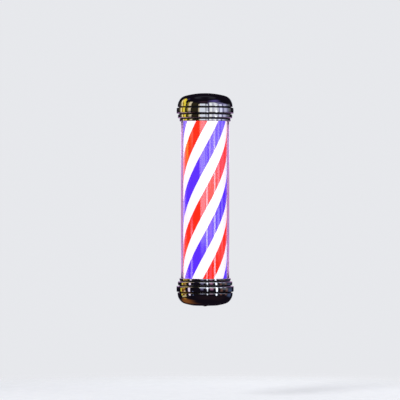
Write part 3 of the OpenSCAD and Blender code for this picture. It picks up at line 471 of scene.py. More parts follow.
class Nodes:
    """Adds nodes to a material or a node group. What they are given may be a value or another's output."""

    def __init__(self, tree):
        self.tree = tree

    def put(self, socket, value):
        """Links the socket if the value is a socket too, and sets it otherwise."""
        if isinstance(value, bpy.types.NodeSocket):
            self.tree.links.new(value, socket)
        else:
            socket.default_value = value

    def add(self, kind, values=None, **settings):
        """A node with its inputs, by name or number, and its settings."""
        node = self.tree.nodes.new("ShaderNode" + kind)
        for name, value in settings.items():
            setattr(node, name, value)
        for key, value in (values or {}).items():
            self.put(node.inputs[key], value)
        return node

    def calc(self, operation, *values):
        """The result of one Math node."""
        return self.add("Math", dict(enumerate(values)), operation=operation).outputs[0]

    def times(self, value, *others):
        """The product of the values."""
        for other in others:
            value = self.calc("MULTIPLY", value, other)
        return value

    def point(self):
        """The point on the object, in metres."""
        return self.add("TexCoord").outputs["Object"]

    def stretched(self, vector, by):
        """A vector with each of its axes stretched."""
        return self.add("VectorMath", {0: vector, 1: by}, operation="MULTIPLY").outputs[0]

    def place(self, by=(1, 1, 1)):
        """The point on the object with its axes stretched. A pattern is drawn out along a small one."""
        return self.stretched(self.point(), by)

    def noise(self, vector, scale, detail=2.0):
        """A noise with about scale patches to the metre."""
        return self.add("TexNoise", {"Vector": vector, "Scale": scale, "Detail": detail}).outputs["Fac"]

    def smooth(self, value, low, high, to_low=0.0, to_high=1.0):
        """Turns the range from low to high into another one, with soft ends."""
        node = self.add("MapRange", {"Value": value, "From Min": low, "From Max": high,
                                     "To Min": to_low, "To Max": to_high}, interpolation_type="SMOOTHSTEP")
        return node.outputs["Result"]

    def spread(self, noise, to_low=0.0, to_high=1.0):
        """Spreads a noise over a range."""
        return self.smooth(noise, NOISE_LOW, NOISE_HIGH, to_low, to_high)

    def blend(self, share, first, second):
        """A colour between two colours."""
        node = self.add("Mix", {"Factor": share}, data_type="RGBA")
        self.put(node.inputs[6], first)
        self.put(node.inputs[7], second)
        return node.outputs[2]

    def effect(self, name, **values):
        """The outputs of a shared effect with its own values."""
        return self.add("Group", values, node_tree=effect_group(name)).outputs

    def bump(self, height, depth, normal=None):
        """A normal that follows a height of this depth, over another normal if there is one."""
        values = {"Height": height, "Distance": depth, "Strength": 1.0}
        if normal is not None:
            values["Normal"] = normal
        return self.add("Bump", values).outputs["Normal"]


class Finish(Nodes):
    """The nodes of a new material, with its shader and with the record's colour if it has one."""

    def __init__(self, name, colour=None):
        self.material = bpy.data.materials.new(name)
        self.material.use_nodes = True
        super().__init__(self.material.node_tree)
        self.shader = self.tree.nodes["Principled BSDF"]
        self.colour = colour
        if colour:
            self.material.diffuse_color = colour
            self.shade(Base_Color=colour)

    def shade(self, **values):
        """Sets or links the shader's inputs. A name's underscores stand for spaces."""
        for name, value in values.items():
            self.put(self.shader.inputs[name.replace("_", " ")], value)


def worn_edges(nodes, given):
    """Where corners have rubbed bare, and a normal that rounds them off."""
    rounded = nodes.add("Bevel", {"Radius": given["Radius"]}, samples=BEVEL_SAMPLES).outputs[0]
    true = nodes.add("NewGeometry").outputs["True Normal"]
    facing = nodes.add("VectorMath", {0: rounded, 1: true}, operation="DOT_PRODUCT").outputs["Value"]
    bend = nodes.calc("SUBTRACT", 1.0, facing)
    patches = nodes.noise(nodes.place(), given["Patches"], 4.0)
    rubbed = nodes.times(patches, given["Amount"], bend)
    return {"Mask": nodes.smooth(rubbed, 0.02, 0.12), "Normal": rounded}


def fine_scratches(nodes, given):
    """Thin scratches in two directions, as a mask."""
    lines = []
    for lean, stretch in ((0.5, (1, 1, 0.06)), (-1.1, (0.07, 1, 1))):
        turned = nodes.add("VectorRotate", {"Vector": nodes.point(), "Angle": lean},
                           rotation_type="Y_AXIS").outputs[0]
        grain = nodes.noise(nodes.stretched(turned, stretch), given["Scale"], 3.0)
        lines.append(nodes.smooth(grain, 0.66, 0.72))
    both = nodes.calc("MAXIMUM", lines[0], lines[1])
    where = nodes.smooth(nodes.noise(nodes.place(), 22.0), 0.42, 0.62)
    return {"Mask": nodes.times(both, where, given["Amount"])}


def smudges(nodes, given):
    """Soft patches that hands and cloths leave."""
    large = nodes.noise(nodes.place((1, 1, 0.6)), given["Scale"], 5.0)
    small = nodes.noise(nodes.place((1, 0.4, 1)), nodes.times(given["Scale"], 6.0), 4.0)
    return {"Mask": nodes.times(nodes.smooth(large, 0.45, 0.7), nodes.smooth(small, 0.35, 0.75),
                                given["Amount"])}


def settled_dust(nodes, given):
    """Dust on what faces upwards, thicker in patches."""
    normal = nodes.add("NewGeometry").outputs["Normal"]
    up = nodes.add("SeparateXYZ", {0: normal}).outputs["Z"]
    level = nodes.smooth(up, 0.25, 0.95)
    patches = nodes.smooth(nodes.noise(nodes.place(), 140.0, 6.0), 0.35, 0.75)
    return {"Mask": nodes.times(level, patches, given["Amount"])}


def moulded_grain(nodes, given):
    """The fine grain and the faint flow of moulded plastic."""
    fine = nodes.noise(nodes.place(), given["Scale"], 3.0)
    flow = nodes.noise(nodes.place((1, 1, 0.3)), 60.0, 3.0)
    return {"Height": nodes.calc("ADD", nodes.times(fine, 0.6), flow), "Flow": flow}


def drawn_lines(nodes, given):
    """Lines that a tool leaves: along the pole if the stretch is under 1, and round it if it is over 1."""
    stretch = nodes.add("CombineXYZ", {0: 1.0, 1: 1.0, 2: given["Stretch"]}).outputs[0]
    return {"Height": nodes.noise(nodes.place(stretch), given["Scale"], given["Detail"])}


def turned_lines(nodes, given):
    """Fine rings that run round the pole's axis, as spinning and turning leave them."""
    parts = nodes.add("SeparateXYZ", {0: nodes.point()}).outputs
    forward = nodes.calc("SUBTRACT", parts["Y"], AXIS_Y)
    radius = nodes.calc("SQRT", nodes.calc("ADD", nodes.times(parts["X"], parts["X"]),
                                           nodes.times(forward, forward)))
    height = nodes.calc("ABSOLUTE", parts["Z"])
    along = nodes.times(nodes.calc("SUBTRACT", height, radius), given["Scale"])
    rings = nodes.add("TexNoise", {"W": along, "Scale": 1.0, "Detail": 4.0}, noise_dimensions="1D")
    return {"Height": rings.outputs["Fac"]}


# Shared effects: how each is built, its inputs and its outputs
EFFECTS = {
    "Worn edges": (worn_edges, {"Radius": 0.4 * MM, "Patches": 180.0, "Amount": 0.6},
                   {"Mask": "Float", "Normal": "Vector"}),
    "Fine scratches": (fine_scratches, {"Scale": 900.0, "Amount": 0.5}, {"Mask": "Float"}),
    "Smudges": (smudges, {"Scale": 30.0, "Amount": 1.0}, {"Mask": "Float"}),
    "Settled dust": (settled_dust, {"Amount": 0.4}, {"Mask": "Float"}),
    "Moulded grain": (moulded_grain, {"Scale": 2500.0}, {"Height": "Float", "Flow": "Float"}),
    "Drawn lines": (drawn_lines, {"Stretch": 1.0, "Scale": 1500.0, "Detail": 4.0}, {"Height": "Float"}),
    "Turned lines": (turned_lines, {"Scale": 1800.0}, {"Height": "Float"}),
}


def effect_group(name):
    """The node group of a shared effect, built once."""
    tree = bpy.data.node_groups.get(name)
    if tree:
        return tree
    build, inputs, outputs = EFFECTS[name]
    tree = bpy.data.node_groups.new(name, "ShaderNodeTree")
    for label, value in inputs.items():
        tree.interface.new_socket(
            name=label, in_out="INPUT", socket_type="NodeSocketFloat").default_value = value
    for label, kind in outputs.items():
        tree.interface.new_socket(name=label, in_out="OUTPUT", socket_type="NodeSocket" + kind)
    nodes = Nodes(tree)
    results = build(nodes, tree.nodes.new("NodeGroupInput").outputs)
    end = tree.nodes.new("NodeGroupOutput")
    for label, value in results.items():
        nodes.put(end.inputs[label], value)
    return tree


def darker(colour, share):
    """A colour with a share of its light left."""
    return (colour[0] * share, colour[1] * share, colour[2] * share, 1.0)


def chrome(nodes):
    """Polished chrome over spun metal: faint rings and waves, hair scratches and smudges."""
    look = bpy.context.scene.pole_chrome
    rings = nodes.effect("Turned lines", Scale=2600.0)["Height"]
    waves = nodes.noise(nodes.place((1, 1, 0.35)), 26.0, 2.0)
    scratches = nodes.effect("Fine scratches", Scale=1400.0, Amount=0.6)["Mask"]
    marks = nodes.effect("Smudges", Scale=24.0, Amount=1.0)["Mask"]
    soiled = nodes.calc("MAXIMUM", nodes.times(marks, 0.8), scratches)
    roughness = nodes.smooth(soiled, 0.0, 1.0, look.roughness, look.smudged)
    wavy = nodes.bump(waves, look.wave)
    ringed = nodes.bump(rings, 0.0006 * MM, wavy)
    colour = nodes.blend(soiled, (*look.colour, 1.0), darker(look.colour, 0.9))
    nodes.shade(Base_Color=colour, Metallic=1.0,
                Roughness=roughness, Normal=nodes.bump(scratches, -0.002 * MM, ringed))


def groove_black(nodes):
    """Painted shade in the grooves between the bands: a satin black that stands in for the shade inside them, with
    settled dust.
    """
    dust = nodes.effect("Settled dust", Amount=0.35)["Mask"]
    brushed = nodes.effect("Drawn lines", Stretch=8.0, Scale=220.0, Detail=3.0)["Height"]
    # Painted shade: black for the shade in the groove, with settled dust over it
    colour = nodes.blend(dust, GROOVE_SHADE_BLACK, DUST_ON_GROOVE_SHADE)
    nodes.shade(Base_Color=colour, Roughness=nodes.spread(brushed, 0.38, 0.62),
                Normal=nodes.bump(brushed, 0.02 * MM), Specular_IOR_Level=0.35)


def clear_acrylic(nodes):
    """Clear polished acrylic, with fine scratches, finger marks and a painted pink glow along its edges, from a
    faint tint of the plastic.
    """
    sizes = bpy.context.scene.pole_tube
    scratches = nodes.effect("Fine scratches", Scale=1100.0, Amount=0.7)["Mask"]
    marks = nodes.effect("Smudges", Scale=16.0, Amount=0.8)["Mask"]
    soiled = nodes.calc("MAXIMUM", nodes.times(marks, 0.5), scratches)
    drawn = nodes.noise(nodes.place((1, 1, 0.06)), 30.0, 2.0)
    nodes.shade(Base_Color=(1.0, 1.0, 1.0, 1.0), Transmission_Weight=1.0, IOR=1.49,
                Coat_Weight=1.0, Coat_IOR=1.6, Coat_Roughness=0.01,
                Roughness=nodes.smooth(soiled, 0.0, 1.0, 0.008, 0.05), Normal=nodes.bump(drawn, 0.004 * MM))
    # Painted glow: this tint turns the light through the tube's edges pink
    tint = nodes.add("VolumeAbsorption", {"Color": (*sizes.tint, 1.0), "Density": sizes.density})
    nodes.put(nodes.tree.nodes["Material Output"].inputs["Volume"], tint.outputs[0])


def painted_glow_plastic(nodes, tint):
    """Translucent plastic with a painted glow, a little uneven, which stands in for the lamp behind it shining
    through.

    The last argument names the drum's property that holds the colour of its painted glow."""
    look = bpy.context.scene.pole_drum
    light = getattr(look, tint)
    # Painted glow: the sheet gives out light itself, dimmed a little in patches and specks
    uneven = nodes.noise(nodes.place((1, 1, 0.5)), 14.0, 2.0)
    specks = nodes.noise(nodes.place(), 700.0, 3.0)
    painted_dimming = nodes.calc("ADD", nodes.spread(uneven, 0.0, 0.08),
                        nodes.smooth(specks, 0.62, 0.75, 0.0, 0.03))
    glow = nodes.blend(painted_dimming, (*light, 1.0), darker(light, 0.45))
    nodes.shade(Base_Color=darker(light, 0.25), Roughness=nodes.spread(uneven, 0.08, 0.14),
                Emission_Color=glow, Emission_Strength=look.glow, Normal=nodes.bump(specks, 0.001 * MM))


def moulded(nodes, roughness, grain=0.006 * MM, bleed=0.0, dusty=0.15):
    """Moulded plastic: grain, faint flow marks, softened edges and a little dust."""
    effect = nodes.effect("Moulded grain")
    edges = nodes.effect("Worn edges", Radius=0.25 * MM, Amount=0.25)
    dust = nodes.effect("Settled dust", Amount=dusty)["Mask"]
    shaded = nodes.blend(nodes.spread(effect["Flow"]), darker(nodes.colour, 0.9), nodes.colour)
    shaded = nodes.blend(dust, shaded, DUST_ON_PLASTIC)
    nodes.shade(Base_Color=shaded, Normal=nodes.bump(effect["Height"], grain, edges["Normal"]),
                Roughness=nodes.spread(effect["Flow"], roughness - 0.06, roughness + 0.06),
                Subsurface_Weight=bleed, Subsurface_Scale=1.5 * MM)


def strap_paint(nodes):
    """Satin black powder coat, with its orange peel, rubbed a little at the corners."""
    peel = nodes.noise(nodes.place(), 650.0, 3.0)
    edges = nodes.effect("Worn edges", Radius=0.5 * MM, Amount=0.9)
    scratches = nodes.effect("Fine scratches", Scale=700.0, Amount=0.6)["Mask"]
    dust = nodes.effect("Settled dust", Amount=0.5)["Mask"]
    bare = nodes.calc("MAXIMUM", edges["Mask"], nodes.times(scratches, 0.4))
    colour = nodes.blend(bare, nodes.colour, BARE_STEEL)
    colour = nodes.blend(dust, colour, DUST_ON_PAINT)
    nodes.shade(Base_Color=colour, Roughness=nodes.spread(peel, 0.34, 0.46),
                Normal=nodes.bump(peel, 0.03 * MM, edges["Normal"]))


def metal(nodes, roughness, tinted, **lines):
    """Bare or plated metal: tool lines, softened corners, scratches and a faint cast in patches."""
    height = nodes.effect("Drawn lines", **lines)["Height"]
    edges = nodes.effect("Worn edges", Radius=0.3 * MM, Amount=0.8)
    scratches = nodes.effect("Fine scratches", Scale=1000.0, Amount=0.6)["Mask"]
    patches = nodes.smooth(nodes.noise(nodes.place(), 90.0, 4.0), 0.35, 0.7)
    shaded = nodes.blend(nodes.times(patches, tinted), nodes.colour, PLATING_CAST)
    shaded = nodes.blend(nodes.times(edges["Mask"], 0.5), shaded, BRIGHT_EDGE)
    rough = nodes.spread(height, roughness - 0.07, roughness + 0.07)
    nodes.shade(Base_Color=shaded, Metallic=1.0,
                Roughness=nodes.calc("ADD", rough, nodes.times(scratches, 0.12)),
                Normal=nodes.bump(height, 0.002 * MM, edges["Normal"]))


def plate_steel(nodes):
    """Galvanised sheet, with the crystals of its zinc."""
    cells = nodes.add("TexVoronoi", {"Vector": nodes.place(), "Scale": 110.0})
    tone = nodes.add("SeparateColor", {0: cells.outputs["Color"]}).outputs[0]
    edges = nodes.effect("Worn edges", Radius=0.4 * MM, Amount=0.5)
    scratches = nodes.effect("Fine scratches", Scale=800.0, Amount=0.6)["Mask"]
    colour = nodes.blend(tone, darker(nodes.colour, 0.8), PALE_CRYSTAL)
    rough = nodes.smooth(tone, 0.0, 1.0, 0.28, 0.46)
    nodes.shade(Base_Color=colour, Metallic=1.0,
                Roughness=nodes.calc("ADD", rough, nodes.times(scratches, 0.1)),
                Normal=nodes.bump(tone, 0.004 * MM, edges["Normal"]))


def lamp_chip(nodes):
    """The yellow phosphor of the light chips, lit."""
    speck = nodes.noise(nodes.place(), 3000.0, 2.0)
    glow = nodes.blend(nodes.smooth(speck, 0.4, 0.7), PHOSPHOR, PHOSPHOR_SPECK)
    nodes.shade(Roughness=0.3, Emission_Color=glow, Emission_Strength=2.0)


# How each slot's material is built, and what sets it apart from others that are built so. Lines with a low
# stretch are drawn out along the pole, and with a high one round it.
FINISHES = {
    "chrome": (chrome, {}),
    # The grooves' black is painted shade
    "groove_black": (groove_black, {}),
    "clear_acrylic": (clear_acrylic, {}),
    "strap_paint": (strap_paint, {}),
    "plate_steel": (plate_steel, {}),
    "lamp_chip": (lamp_chip, {}),
    # The drum's sheet and films glow with painted light
    "drum_white": (painted_glow_plastic, {"tint": "white"}),
    "film_red": (painted_glow_plastic, {"tint": "red"}),
    "film_blue": (painted_glow_plastic, {"tint": "blue"}),
    "white_acetal": (moulded, {"roughness": 0.42, "bleed": 0.25}),
    "gear_acetal": (moulded, {"roughness": 0.38, "bleed": 0.2}),
    "driver_plastic": (moulded, {"roughness": 0.5, "grain": 0.012 * MM}),
    "terminal_plastic": (moulded, {"roughness": 0.4, "bleed": 0.15}),
    "board_white": (moulded, {"roughness": 0.3, "grain": 0.002 * MM}),
    "seam_tape": (moulded, {"roughness": 0.25, "grain": 0.002 * MM}),
    "black_rubber": (moulded, {"roughness": 0.68, "grain": 0.02 * MM, "dusty": 0.4}),
    "switch_black": (moulded, {"roughness": 0.27, "grain": 0.004 * MM, "dusty": 0.1}),
    "rocker_red": (moulded, {"roughness": 0.2, "grain": 0.001 * MM, "bleed": 0.1, "dusty": 0.1}),
    "zinc": (metal, {"roughness": 0.3, "tinted": 0.45, "Stretch": 1.0, "Scale": 1600.0, "Detail": 4.0}),
    "core_aluminium": (metal, {"roughness": 0.33, "tinted": 0.05, "Stretch": 0.03, "Scale": 1500.0,
                               "Detail": 5.0}),
    "motor_can": (metal, {"roughness": 0.34, "tinted": 0.3, "Stretch": 12.0, "Scale": 260.0, "Detail": 4.0}),
    "shaft_steel": (metal, {"roughness": 0.2, "tinted": 0.05, "Stretch": 30.0, "Scale": 300.0,
                            "Detail": 3.0}),
}


def material_of(slot):
    """The material of a slot, built once."""
    name = slot + "_finish"
    if name not in bpy.data.materials:
        build, values = FINISHES[slot]
        build(Finish(name, COLOUR_OF.get(slot)), **values)
    return bpy.data.materials[name]


def dress(*names):
    """Gives CAD nodes the finish of their slot."""
    for name in names:
        piece = frame["nodes"][name]
        slot = SLOT_OF[name]
        piece.data.materials[0] = material_of(slot)


def break_edges(name, width):
    """Rounds a CAD node's edges off: joins its facets into faces and bevels what is left."""
    piece = frame["nodes"][name]
    weld = piece.modifiers.new("weld", "WELD")
    weld.merge_threshold = WELD_GAP
    faces = piece.modifiers.new("faces", "DECIMATE")
    faces.decimate_type = "DISSOLVE"
    faces.angle_limit = FLAT_ANGLE
    bevel = piece.modifiers.new("broken edges", "BEVEL")
    bevel.width = width
    bevel.segments = BEVEL_STEPS
    bevel.limit_method = "ANGLE"
    bevel.angle_limit = SHARP_ANGLE
    bevel.harden_normals = False
    normals = piece.modifiers.new("normals", "WEIGHTED_NORMAL")
    normals.keep_sharp = False


def band_outline(radius, z0, z1, edge, sizes, inset):
    """A band of a cap: a shallow crown between two rounded edges."""
    crown = (radius - sizes.crown, (z0 + z1) / 2)
    reach = sizes.crown - edge
    lean = math.asin(((z1 - z0) / 2 - edge) / reach)
    low = (crown[0] + reach * math.cos(lean), crown[1] - reach * math.sin(lean))
    high = (low[0], crown[1] + reach * math.sin(lean))
    lean = math.degrees(lean)
    return (arc(low, edge - inset, -90, -lean, EDGE_STEPS)
            + arc(crown, sizes.crown - inset, -lean, lean, CROWN_STEPS)[1:-1]
            + arc(high, edge - inset, lean, 90, EDGE_STEPS))


def dome_outline(radius, base_z, well, sizes, inset):
    """The dome: a shoulder arc and a crown arc that meet smoothly, then the well in its middle."""
    well_r, well_depth, hole_r = well
    floor_z = CROWN_Z - well_depth - inset
    rise = sizes.dome_height - sizes.edge
    reach = radius - sizes.shoulder
    crown_r = (rise ** 2 - sizes.shoulder ** 2 + reach ** 2) / (2 * (rise - sizes.shoulder))
    crown = (0, CROWN_Z - crown_r)
    join = 90 - math.degrees(math.asin(reach / (crown_r - sizes.shoulder)))
    edge_a = math.degrees(math.acos((well_r + sizes.well_edge) / (crown_r - sizes.well_edge)))
    edge = (well_r + sizes.well_edge, crown[1] + (crown_r - sizes.well_edge) * math.sin(math.radians(edge_a)))
    foot_r = sizes.well_foot
    well_foot = (well_r - foot_r, CROWN_Z - well_depth + foot_r)
    dome_foot = (radius - sizes.dome_edge, base_z + sizes.dome_edge)
    return (arc(dome_foot, sizes.dome_edge - inset, -90, 0, EDGE_STEPS)
            + arc((reach, base_z + sizes.edge), sizes.shoulder - inset, 0, join, SHOULDER_STEPS)
            + arc(crown, crown_r - inset, join, edge_a, DOME_STEPS)[1:]
            + arc(edge, sizes.well_edge - inset, edge_a, 180, EDGE_STEPS)[1:]
            + arc(well_foot, foot_r + inset, 0, -90, EDGE_STEPS)
            + [(hole_r, floor_z)])


def cap_outline(well, sizes, inset):
    """One side of the spun metal from the mouth to the middle, and which stretches are grooves."""
    small_r = TUBE_R + sizes.small_band[0]
    middle_r = TUBE_R + sizes.middle_band[0]
    large_r = TUBE_R + sizes.large_band[0]
    dome_r = TUBE_R + sizes.dome_overhang
    lip_r = TUBE_R + sizes.lip_gap
    mouth_groove_r = lip_r + sizes.mouth_groove_gap + sizes.wall
    small_top = MOUTH_Z + sizes.small_band[1]
    middle_z = small_top + sizes.groove_width
    middle_top = middle_z + sizes.middle_band[1]
    large_z = middle_top + sizes.groove_width
    large_top = large_z + sizes.large_band[1]
    dome_z = large_top + sizes.groove_width
    mouth_edge = min(sizes.edge, MOUTH_EDGE_SHARE * (small_r - mouth_groove_r))

    def groove(radius, z0, z1):
        """The straight bottom of a groove."""
        return [(radius - inset, z0 - inset), (radius - inset, z1 + inset)]

    stretches = (
        ([(lip_r, MOUTH_Z + inset)], False),
        (band_outline(small_r, MOUTH_Z, small_top, mouth_edge, sizes, inset), False),
        (groove(mouth_groove_r, small_top, middle_z), True),
        (band_outline(middle_r, middle_z, middle_top, sizes.edge, sizes, inset), False),
        (groove(middle_r - sizes.groove_depth, middle_top, large_z), True),
        (band_outline(large_r, large_z, large_top, sizes.edge, sizes, inset), False),
        (groove(dome_r - sizes.groove_depth, large_top, dome_z), True),
        (dome_outline(dome_r, dome_z, well, sizes, inset), False),
    )
    points = []
    grooved = []
    for stretch, is_groove in stretches:
        if is_groove:
            grooved[-1] = 1
        points += stretch
        grooved += [int(is_groove)] * len(stretch)
    return points, grooved


def spun_cap(name, well, upside_down, more_cutters=()):
    """A cap spun from one sheet, with the opening for the strap's tongue cut out of its back."""
    sizes = bpy.context.scene.pole_caps
    outer, grooved = cap_outline(well, sizes, 0.0)
    inner, _ = cap_outline(well, sizes, sizes.wall)
    points, faces = spin(outer + inner[::-1], upside_down)
    # The grooves' faces take the painted groove shade, and the rest takes the chrome
    finishes = (grooved + [0] * len(inner)) * COLUMNS
    cap = new_piece(name, points, faces, [material_of("chrome"), material_of("groove_black")], finishes)
    half_w = sizes.back_gap[0] / 2
    ends = sorted((-z if upside_down else z) for z in (MOUTH_Z - MOUTH_OVERRUN, MOUTH_Z + sizes.back_gap[1]))
    gap = box_cutter((-half_w, AXIS_Y, ends[0]), (half_w, 0.0, ends[1]))
    cut(cap, [gap, *more_cutters])
    put_in_place(cap, "housing", "chrome", name)


def recess_cutters():
    """What is cut out of the floor of the recess: a hole for each switch and one for the lead's grommet."""
    sizes = bpy.context.scene.pole_caps
    face_z = sizes.recess[1] - CROWN_Z
    below = face_z - RECESS_OVERRUN
    above = face_z + RECESS_OVERRUN
    cutters = []
    for node in ("motor_switch", "light_switch"):
        low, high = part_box(node)
        cutters.append(box_cutter((low.x + SWITCH_SHOULDER, low.y + SWITCH_SHOULDER, below),
                                  (high.x - SWITCH_SHOULDER, high.y - SWITCH_SHOULDER, above)))
    low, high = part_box("cable_grommet")
    cutters.append(bar_cutter(((low.x + high.x) / 2, (low.y + high.y) / 2), GROMMET_HOLE_R, below, above))
    return cutters


class BARBERPOLE_OT_caps(bpy.types.Operator):
    """Spin the two chromed caps"""

    bl_idname = "barber_pole.caps"
    bl_label = "Spun caps"

    def execute(self, context):
        sizes = context.scene.pole_caps
        spun_cap("top_cap", sizes.dimple, False)
        spun_cap("bottom_cap", sizes.recess, True, recess_cutters())
        return {"FINISHED"}


class BARBERPOLE_OT_tube(bpy.types.Operator):
    """Make the clear tube, with a polished chamfer at its ends"""

    bl_idname = "barber_pole.tube"
    bl_label = "Clear tube"

    def execute(self, context):
        sizes = context.scene.pole_tube
        inner_r = TUBE_R - sizes.wall
        c = sizes.chamfer
        end_z = TUBE_END_Z
        outline = [
            (TUBE_R - c, -end_z), (TUBE_R, -end_z + c), (TUBE_R, end_z - c), (TUBE_R - c, end_z),
            (inner_r + c, end_z), (inner_r, end_z - c), (inner_r, -end_z + c), (inner_r + c, -end_z),
        ]
        points, faces = spin(outline)
        tube = new_piece("outer_tube", points, faces, [material_of("clear_acrylic")])
        tube.visible_shadow = False
        put_in_place(tube, "housing", "clear_acrylic", "outer_tube")
        return {"FINISHED"}


def sheet_mesh(look):
    """Points and faces of the sheet, rolled into a drum whose edges meet at the back."""
    half_gap = math.degrees(look.seam / 2 / DRUM_R)
    start = SEAM_BEARING + half_gap
    end = SEAM_BEARING + 360 - half_gap
    outer = arc((0, AXIS_Y), DRUM_R, start, end, COLUMNS)
    inner = arc((0, AXIS_Y), DRUM_R - look.sheet, start, end, COLUMNS)
    count = COLUMNS + 1
    points = []
    for ring, z in ((outer, -SHEET_END_Z), (outer, SHEET_END_Z), (inner, SHEET_END_Z), (inner, -SHEET_END_Z)):
        points += [(x, y, z) for x, y in ring]
    faces = []
    for side in range(4):
        here = side * count
        there = (side + 1) % 4 * count
        faces += [(here + k, here + k + 1, there + k + 1, there + k) for k in range(COLUMNS)]
    faces.append((0, count, 2 * count, 3 * count))
    faces.append(tuple(reversed([side * count + COLUMNS for side in range(4)])))
    return points, faces


def film_mesh(look, bearing):
    """Points and faces of the bands of one colour, which climb to the right round the drum."""
    inner_r = DRUM_R + look.film_gap
    outer_r = inner_r + look.film
    place = 2 * math.pi / look.bands
    width = place / 2 * look.fill
    row_length = 2 * (FILM_ACROSS + 1)
    points = []
    faces = []
    for band in range(look.bands):
        first = len(points)
        for row in range(FILM_ROWS + 1):
            z = SHEET_END_Z * (2 * row / FILM_ROWS - 1)
            middle = bearing + place * band + 2 * math.pi * z / look.lead
            across = [middle + width * (k / FILM_ACROSS - 0.5) for k in range(FILM_ACROSS + 1)]
            points += [(outer_r * math.cos(a), AXIS_Y + outer_r * math.sin(a), z) for a in across]
            points += [(inner_r * math.cos(a), AXIS_Y + inner_r * math.sin(a), z) for a in reversed(across)]
        for row in range(FILM_ROWS):
            here = first + row * row_length
            for k in range(row_length):
                j = (k + 1) % row_length
                faces.append((here + k, here + j, here + row_length + j, here + row_length + k))
        last = first + FILM_ROWS * row_length
        for k in range(FILM_ACROSS):
            back = row_length - 1 - k
            faces.append((first + k, first + back, first + back - 1, first + k + 1))
            faces.append((last + k, last + k + 1, last + back - 1, last + back))
    return points, faces


class BARBERPOLE_OT_drum(bpy.types.Operator):
    """Make the lit drum: the white sheet and its bands of red and blue film, which glow with painted light"""

    bl_idname = "barber_pole.drum"
    bl_label = "Striped drum"

    def execute(self, context):
        look = context.scene.pole_drum
        sheet = new_piece("drum_sheet", *sheet_mesh(look), [material_of("drum_white")])
        put_in_place(sheet, "drum", "drum_white", "drum_sheet")
        red = new_piece("red_stripes", *film_mesh(look, look.bearing), [material_of("film_red")])
        put_in_place(red, "drum", "film_red", "red_stripes")
        blue_bearing = look.bearing + math.pi / look.bands
        blue = new_piece("blue_stripes", *film_mesh(look, blue_bearing), [material_of("film_blue")])
        put_in_place(blue, "drum", "film_blue", "blue_stripes")
        dress("seam_strip")
        return {"FINISHED"}


class BARBERPOLE_OT_wheels(bpy.types.Operator):
    """Finish the drum's wheels, its gear and the bushes that it turns on"""

    bl_idname = "barber_pole.wheels"
    bl_label = "Wheels and gear"

    def execute(self, context):
        dress("lower_wheel", "upper_wheel", "drum_gear", "gear_screws", "lower_bush", "upper_bush")
        return {"FINISHED"}


class BARBERPOLE_OT_drive(bpy.types.Operator):
    """Finish the motor, its shaft and its pinion"""

    bl_idname = "barber_pole.drive"
    bl_label = "Motor and pinion"

    def execute(self, context):
        dress("motor_body", "motor_shaft", "pinion")
        return {"FINISHED"}


class BARBERPOLE_OT_lamp(bpy.types.Operator):
    """Finish the lamp: its core, its holders, its boards and its chips"""

    bl_idname = "barber_pole.lamp"
    bl_label = "Lamp"

    def execute(self, context):
        dress("lamp_core", "lower_core_holder", "upper_core_holder", "lamp_chips",
              "lamp_board_front", "lamp_board_right", "lamp_board_back", "lamp_board_left")
        return {"FINISHED"}


class BARBERPOLE_OT_structure(bpy.types.Operator):
    """Finish the plates, the seals, the post and what is bolted to them"""

    bl_idname = "barber_pole.structure"
    bl_label = "Plates, post and strap"

    def execute(self, context):
        dress("bottom_plate", "top_plate", "bottom_gasket", "top_gasket", "centre_post", "post_nuts",
              "post_washers", "rear_bracket", "bracket_bolts", "bracket_nuts")
        break_edges("rear_bracket", STRAP_EDGE)
        return {"FINISHED"}


class BARBERPOLE_OT_cap_fixings(bpy.types.Operator):
    """Finish the screw and the domed nut that hold the caps"""

    bl_idname = "barber_pole.cap_fixings"
    bl_label = "Cap screw and nut"

    def execute(self, context):
        dress("top_cap_screw", "bottom_cap_nut")
        break_edges("top_cap_screw", SMALL_EDGE)
        break_edges("bottom_cap_nut", SMALL_EDGE)
        return {"FINISHED"}


class BARBERPOLE_OT_wiring(bpy.types.Operator):
    """Finish the lamp's driver, the terminal block, their screws and the lead's grommet"""

    bl_idname = "barber_pole.wiring"
    bl_label = "Driver, terminals and grommet"

    def execute(self, context):
        dress("lamp_driver", "terminal_block", "fixing_screws", "cable_grommet")
        return {"FINISHED"}


def rocker_mark(name, body, pivot, side, pairs, closed):
    """A low strip of white plastic set on one half of a rocker, which slopes down to its middle.

    Each pair has the strip's left and right edge as (across, from the middle). side is 1 for the
    half behind the pivot and -1 for the one before it."""
    look = bpy.context.scene.pole_rockers

    def on_face(across, away, height):
        """A point over the half's face: across it, away from the rocker's middle, and above it."""
        along = side * (away * math.cos(look.lean) - height * math.sin(look.lean))
        out = look.middle + away * math.sin(look.lean) + height * math.cos(look.lean)
        return (pivot[0] + across, pivot[1] + along * math.cos(look.tilt) - out * math.sin(look.tilt),
                pivot[2] - along * math.sin(look.tilt) - out * math.cos(look.tilt))

    low = look.mark_gap
    high = look.mark_gap + look.mark_height
    points = []
    for left, right in pairs:
        points += [on_face(*left, low), on_face(*left, high), on_face(*right, high), on_face(*right, low)]
    count = len(pairs)
    faces = []
    for k in range(count if closed else count - 1):
        here = 4 * k
        there = 4 * ((k + 1) % count)
        faces += [(here + i, there + i, there + (i + 1) % 4, here + (i + 1) % 4) for i in range(4)]
    if not closed:
        end = 4 * (count - 1)
        faces += [(0, 1, 2, 3), (end + 3, end + 2, end + 1, end)]
    if side > 0:
        faces = [face[::-1] for face in faces]
    mark = new_piece(name, points, faces, [material_of("white_acetal")])
    put_in_place(mark, body, "white_acetal")


